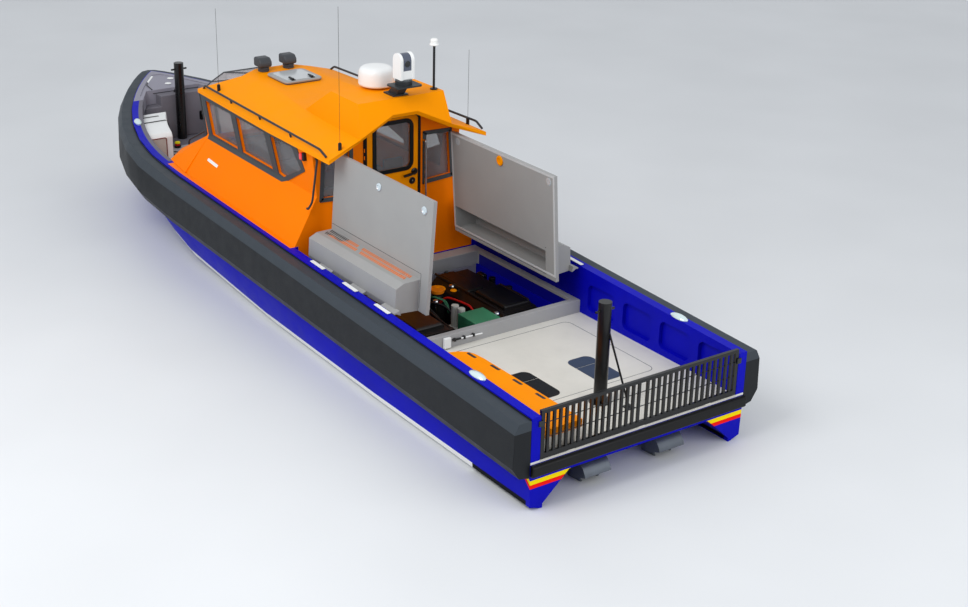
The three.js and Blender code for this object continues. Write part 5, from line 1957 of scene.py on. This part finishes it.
@dataclass
class Foredeck:
    """The fore well with its locker, pods, post and small fittings."""

    def build(self) -> None:
        """Make everything in the fore well and on the bow."""
        SHOP.soften("bow_locker", Finishes.FORE, 14 * MM, 3)
        SHOP.soften("tow_post_fore", Finishes.BLACK, 3 * MM)
        post_pin("fore", 10430, 1849)
        for side in Side:
            SHOP.soften(f"bow_pod_{side.word}", Finishes.WHITE, 46 * MM, 5)
            SHOP.soften(f"cleat_aft_{side.word}", Finishes.CLEAT, 3 * MM)
            SHOP.soften(f"cleat_fore_{side.word}", Finishes.CLEAT, 3 * MM)
        self.locker_fittings()
        self.bow_fittings()
        self.floor_fittings()
        self.pod_fittings()

    def locker_fittings(self) -> None:
        """The handle on the locker's face, and the slot along the bow deck's edge."""
        x = 10510
        corners = ((-430, 1010), (-330, 1010), (-330, 1150), (-430, 1150))
        parts = [plate("locker_handle", [at(x, y, z) for y, z in corners],
                       Vector((-8 * MM, 0, 0)), 24 * MM, edge=2 * MM)]
        for y in (-400, -360):
            grip = [at(x - 4, y, 1030), at(x - 34, y, 1045), at(x - 34, y, 1115), at(x - 4, y, 1130)]
            parts.append(pipe("grip", grip, 9 * MM, 16 * MM))
        SHOP.deliver(joined("locker_handle", parts), Finishes.BLACK)
        slot = pipe("locker_slot", [at(10688, 310, 1460), at(10688, -500, 1460)], 5 * MM)
        SHOP.deliver(slot, Finishes.TRIM)

    @staticmethod
    def on_bow(x: float, y: float, proud: float = 0.0) -> Vector:
        """A point on the bow deck, which rises with the rail."""
        return at(x, y, (Hull.rail_height(STERN_X + x * MM) + 0.013) / MM + proud)

    def bow_fittings(self) -> None:
        """A bare white plate on the bow deck, its short stay, and two round caps."""
        outline = ((11058, 256), (10990, 238), (11204, 67), (11245, 98))
        corners = [self.on_bow(x, y) for x, y in outline]
        bare = plate("bow_plate", corners, Vector((0, 0, 6 * MM)), 8 * MM, edge=1 * MM)
        SHOP.deliver(bare, Finishes.WHITE)
        route = [self.on_bow(10975, 262, 6), self.on_bow(10902, 314, 10), self.on_bow(10700, 318, 6)]
        SHOP.deliver(pipe("bow_stay", route, 7 * MM, 30 * MM), Finishes.BLACK)
        profile = ((0.046, 0), (0.05, 0.004), (0.04, 0.01), (0.01, 0.011))
        caps = [turned("cap", self.on_bow(x, y), profile, 32)
                for x, y in ((11041, -136), (10860, -14))]
        SHOP.deliver(joined("bow_deck_caps", caps), Finishes.WHITE)

    def floor_fittings(self) -> None:
        """A yellow, red and black lamp by the post, and dark clips on the well's floor."""
        foot = at(10040, 262, 800)
        tiers = (
            ("base", Finishes.BLACK, 0, ((0.045, 0), (0.05, 0.006), (0.05, 0.03), (0.04, 0.034))),
            ("red", Finishes.HOSE, 0.034, ((0.036, 0), (0.038, 0.004), (0.038, 0.026), (0.034, 0.03))),
            ("yellow", Finishes.YELLOW, 0.064, ((0.038, 0), (0.042, 0.006), (0.034, 0.024), (0.008, 0.03))),
        )
        for word, finish, height, profile in tiers:
            tier = turned(f"well_lamp_{word}", foot + Vector((0, 0, height)), profile, 28)
            SHOP.deliver(tier, finish)
        clips = []
        for x, y in ((9719, 440), (9785, 350), (9509, 530), (9649, 410)):
            route = [at(x, y, 804), at(x + 45, y + 30, 812), at(x + 90, y + 60, 804)]
            clips.append(pipe("clip", route, 7 * MM, 20 * MM, 2))
        SHOP.deliver(joined("well_floor_clips", clips), Finishes.BLACK)

    def pod_fittings(self) -> None:
        """Two straps round each pod, and the recessed panel in its aft face."""
        corners = ((835, 960), (1080, 960), (1080, 1270), (835, 1270))
        panel = plate("pod_panel_port", [at(9150, y, z) for y, z in corners],
                      Vector((-5 * MM, 0, 0)), 30 * MM, edge=2 * MM)
        rim = [at(9144, 1085, 1275), at(9144, 832, 1275), at(9144, 828, 960)]
        edge = pipe("pod_edge_port", rim, 6 * MM, 30 * MM, 2)
        straps = []
        for x in (9960, 9720):
            route = [at(x, 1100, 1342), at(x, 560, 1342), at(x - 20, 528, 1250), at(x - 20, 528, 900)]
            straps.append(pipe("strap", route, 7 * MM, 30 * MM, 1))
        strap = joined("pod_straps_port", straps)
        for piece, finish in ((panel, Finishes.BEIGE), (edge, Finishes.DARK_RED), (strap, Finishes.RUBBER)):
            SHOP.deliver(twin(piece, piece.name.replace("port", "starboard")), finish)
            SHOP.deliver(piece, finish)


@dataclass
class Cabin:
    """Seats and console seen through the glass."""

    seat_rows: tuple[tuple[str, float], ...] = (("seats_fore", 6550), ("seats_aft", 5350))
    seat_y: tuple[float, float] = (430, -430)

    def build(self) -> None:
        """Make the console and the seats."""
        SHOP.soften("console", Finishes.PLASTIC, 22 * MM, 3)
        self.console_fittings()
        for node, x in self.seat_rows:
            self.seats(node, x)

    def seats(self, node: str, x: float) -> None:
        """One pair of seats: base, pedestals, cushions and backs.

        Args:
            node: The CAD node that they stand for.
            x: The pair's place along the boat.
        """
        base = [soft_block("base", at(x - 60, -700, 561), at(x + 330, 700, 618), 10 * MM)]
        pedestal = ((0.13, 0), (0.13, 0.02), (0.07, 0.06), (0.06, 0.3), (0.09, 0.38), (0.12, 0.39))
        for y in self.seat_y:
            base.append(turned("pedestal", at(x + 160, y, 610), pedestal, 28))
            for arm_y in (y - 230, y + 230):
                arm = [at(x + 20, arm_y, 1040), at(x + 20, arm_y, 1240), at(x + 300, arm_y, 1240),
                       at(x + 320, arm_y, 1180)]
                base.append(pipe("arm", arm, 16 * MM, 50 * MM))
        SHOP.deliver(joined(f"{node}_frames", base), Finishes.FRAME, stands_for=(node,))
        for y, side in zip(self.seat_y, Side):
            pads = (
                ("cushion", at(x - 40, y - 235, 1004), at(x + 395, y + 235, 1116), 0.8),
                ("back", at(x - 105, y - 225, 1120), at(x + 5, y + 225, 1600), 0.8),
                ("headrest", at(x - 95, y - 140, 1630), at(x - 5, y + 140, 1822), 0.85),
            )
            for word, low, high, fill in pads:
                pad = self.pad(f"{node}_{word}_{side.word}", low, high)
                SHOP.deliver(pad, Finishes.SEAT, fill=fill, smooth=60)

    @staticmethod
    def pad(name: str, low: Vector, high: Vector) -> Object:
        """A crowned pad whose sides pull in between its corners.

        Args:
            name: The pad's name.
            low: One corner of the room that it fills.
            high: The opposite corner.

        Returns:
            The pad.
        """
        radius = min(high[i] - low[i] for i in range(3)) * 0.28
        pad = rounded_where(block(name, low, high), radius, 3, is_corner)
        centre, half = (low + high) / 2, (high - low) / 2
        pad = modified(pad, "SUBSURF", levels=1, render_levels=1)
        thin = min(range(3), key=lambda i: half[i])
        for vertex in pad.data.vertices:
            away = [(vertex.co[i] - centre[i]) / half[i] for i in range(3)]
            wide = [i for i in range(3) if i != thin]
            crown = (1 - away[wide[0]] ** 2) * (1 - away[wide[1]] ** 2)
            vertex.co[thin] = centre[thin] + (vertex.co[thin] - centre[thin]) * (0.86 + 0.14 * crown)
            for i, j in (wide, wide[::-1]):
                vertex.co[i] -= half[i] * 0.03 * away[i] * (1 - away[j] ** 2)
        return pad

    def console_fittings(self) -> None:
        """Screens, a wheel and throttles on the console."""
        slope_low, slope_high = Vector((7300, 0, 1380)), Vector((7520, 0, 1560))
        lift = Vector((-0.006, 0, 0.0075))
        screens = []
        for y in (-560, 0, 560):
            low = slope_low.lerp(slope_high, 0.1)
            high = slope_low.lerp(slope_high, 0.9)
            corners = [at(low.x, y - 190, low.z), at(low.x, y + 190, low.z),
                       at(high.x, y + 190, high.z), at(high.x, y - 190, high.z)]
            screens.append(plate("screen", corners, lift, 16 * MM, edge=1.5 * MM))
        SHOP.deliver(joined("console_screens", screens), Finishes.SCREEN)
        settle()
        middle = at(7215, 0, 1330)
        bpy.ops.mesh.primitive_torus_add(
            major_radius=0.17, minor_radius=0.014, major_segments=40, minor_segments=10,
            location=middle, rotation=(0, math.radians(-62), 0),
        )
        wheel = named("wheel")
        spokes = [bar("spoke", middle, at(7215, 160 * math.cos(a), 1330 + 160 * math.sin(a)), 7 * MM, 8)
                  for a in (0.5, 2.6, 4.7)]
        hub = bar("hub", middle, at(7262, 0, 1310), 24 * MM, 20)
        levers = [bar("lever", at(7330, -230 - s, 1400), at(7300, -230 - s, 1500), 9 * MM, 10, 3 * MM)
                  for s in (0, 45)]
        SHOP.deliver(joined("console_wheel", [wheel, hub] + spokes + levers), Finishes.BLACK)


@dataclass
class Jets:
    """The waterjets in the recess under the stern."""

    duct_y: float = 490
    duct_z: float = 60
    bolt_ring: float = 172

    def build(self) -> None:
        """Finish the ducts, nozzles and buckets."""
        for side in Side:
            word = side.word
            SHOP.soften(f"jet_duct_{word}", Finishes.JET, 4 * MM)
            SHOP.soften(f"jet_nozzle_{word}", Finishes.JET, 2 * MM, 2, f"nozzle_{word}")
            SHOP.soften(f"bucket_{word}", Finishes.JET, 3 * MM, 2, f"reverse_{word}")
            bolts = []
            for i in range(8):
                angle = math.radians(45 * i + 22.5)
                y = side.value * self.duct_y + self.bolt_ring * math.cos(angle)
                z = self.duct_z + self.bolt_ring * math.sin(angle)
                bolts.append(bar("bolt", at(466, y, z), at(478, y, z), 11 * MM, 6))
            SHOP.deliver(joined(f"jet_bolts_{word}", bolts), Finishes.STEEL)


@dataclass
class Studio:
    """The pale floor at the waterline, soft light, and the camera."""

    eye: Vector = field(default_factory=lambda: at(-10312, 9537, 7753))
    heading_deg: float = -36.273
    dip_deg: float = 23.149
    roll_deg: float = 1.4815
    lens_mm: float = 58.254
    shift: tuple[float, float] = (-0.00242, 0.00378)

    def build(self) -> None:
        """Make the floor, the lights and the camera."""
        self.floor()
        self.sky()
        self.lamp("key", Vector((-4, 9, 11)), 7.0, 900)
        self.lamp("fill", Vector((-14, -3, 6)), 8.0, 330)
        self.camera()

    def floor(self) -> None:
        """A plain pale floor at the waterline."""
        settle()
        bpy.ops.mesh.primitive_plane_add(size=160, location=(0, 0, 0))
        floor = named("studio_floor")
        bench = Bench("studio_floor")
        tone = bench.ranged(bench.noise(0.4, 2.0), 0.0, 1.0, 0.3, 0.7)
        pale = bench.mixed(tone, Colour(222, 224, 226).light(), Colour(227, 229, 231).light())
        bench.feed(pale, bench.shader.inputs["Base Color"])
        bench.shader.inputs["Roughness"].default_value = 0.6
        floor.data.materials.append(bench.material)

    def sky(self) -> None:
        """Even light from all round, a little stronger from above."""
        world = bpy.data.worlds.new("studio_light")
        world.use_nodes = True
        bpy.context.scene.world = world
        background = world.node_tree.nodes["Background"]
        background.inputs["Color"].default_value = (0.93, 0.96, 1.0, 1.0)
        background.inputs["Strength"].default_value = 0.72
        bpy.context.scene.view_settings.view_transform = "Standard"

    def lamp(self, name: str, place: Vector, size: float, power: float) -> None:
        """A large soft lamp that faces the boat.

        Args:
            name: The lamp's name.
            place: Where it hangs.
            size: The side of its square.
            power: Its power in watts.
        """
        data = bpy.data.lights.new(name, "AREA")
        data.size = size
        data.energy = power
        lamp = bpy.data.objects.new(name, data)
        lamp.location = place
        lamp.rotation_euler = (Vector((0, 0, 0.8)) - place).to_track_quat("-Z", "Y").to_euler()
        bpy.context.scene.collection.objects.link(lamp)

    def camera(self) -> None:
        """The camera at the photograph's place and angle."""
        heading, dip, roll = (math.radians(v) for v in (self.heading_deg, self.dip_deg, self.roll_deg))
        ahead = Vector((math.cos(heading) * math.cos(dip), math.sin(heading) * math.cos(dip),
                        -math.sin(dip)))
        right = ahead.cross(Vector((0, 0, 1))).normalized()
        up = right.cross(ahead)
        level = Matrix((right, up, -ahead)).transposed().to_4x4()
        data = bpy.data.cameras.new("camera")
        data.lens = self.lens_mm
        data.sensor_width = 36.0
        data.sensor_fit = "HORIZONTAL"
        data.shift_x, data.shift_y = self.shift
        data.clip_end = 400.0
        camera = bpy.data.objects.new("camera", data)
        camera.matrix_world = Matrix.Translation(self.eye) @ level @ Matrix.Rotation(roll, 4, "Z")
        bpy.context.scene.collection.objects.link(camera)
        bpy.context.scene.camera = camera


def main() -> None:
    """Build the studio and the boat's sub-assemblies in order."""
    logging.basicConfig(level=logging.INFO, format="%(name)s %(message)s")
    parts = [Studio(), Hull(), AftDeck(), EngineBay(), BayLid(Side.PORT), BayLid(Side.STARBOARD),
             Wheelhouse(), CabinDoor(), Roof(), Foredeck(), Cabin(), Jets()]
    for part in parts:
        part.build()
        LOG.info("built %s", type(part).__name__)
    LOG.info("%d pieces", SHOP.count)
    settle()


if __name__ == "__main__":
    main()
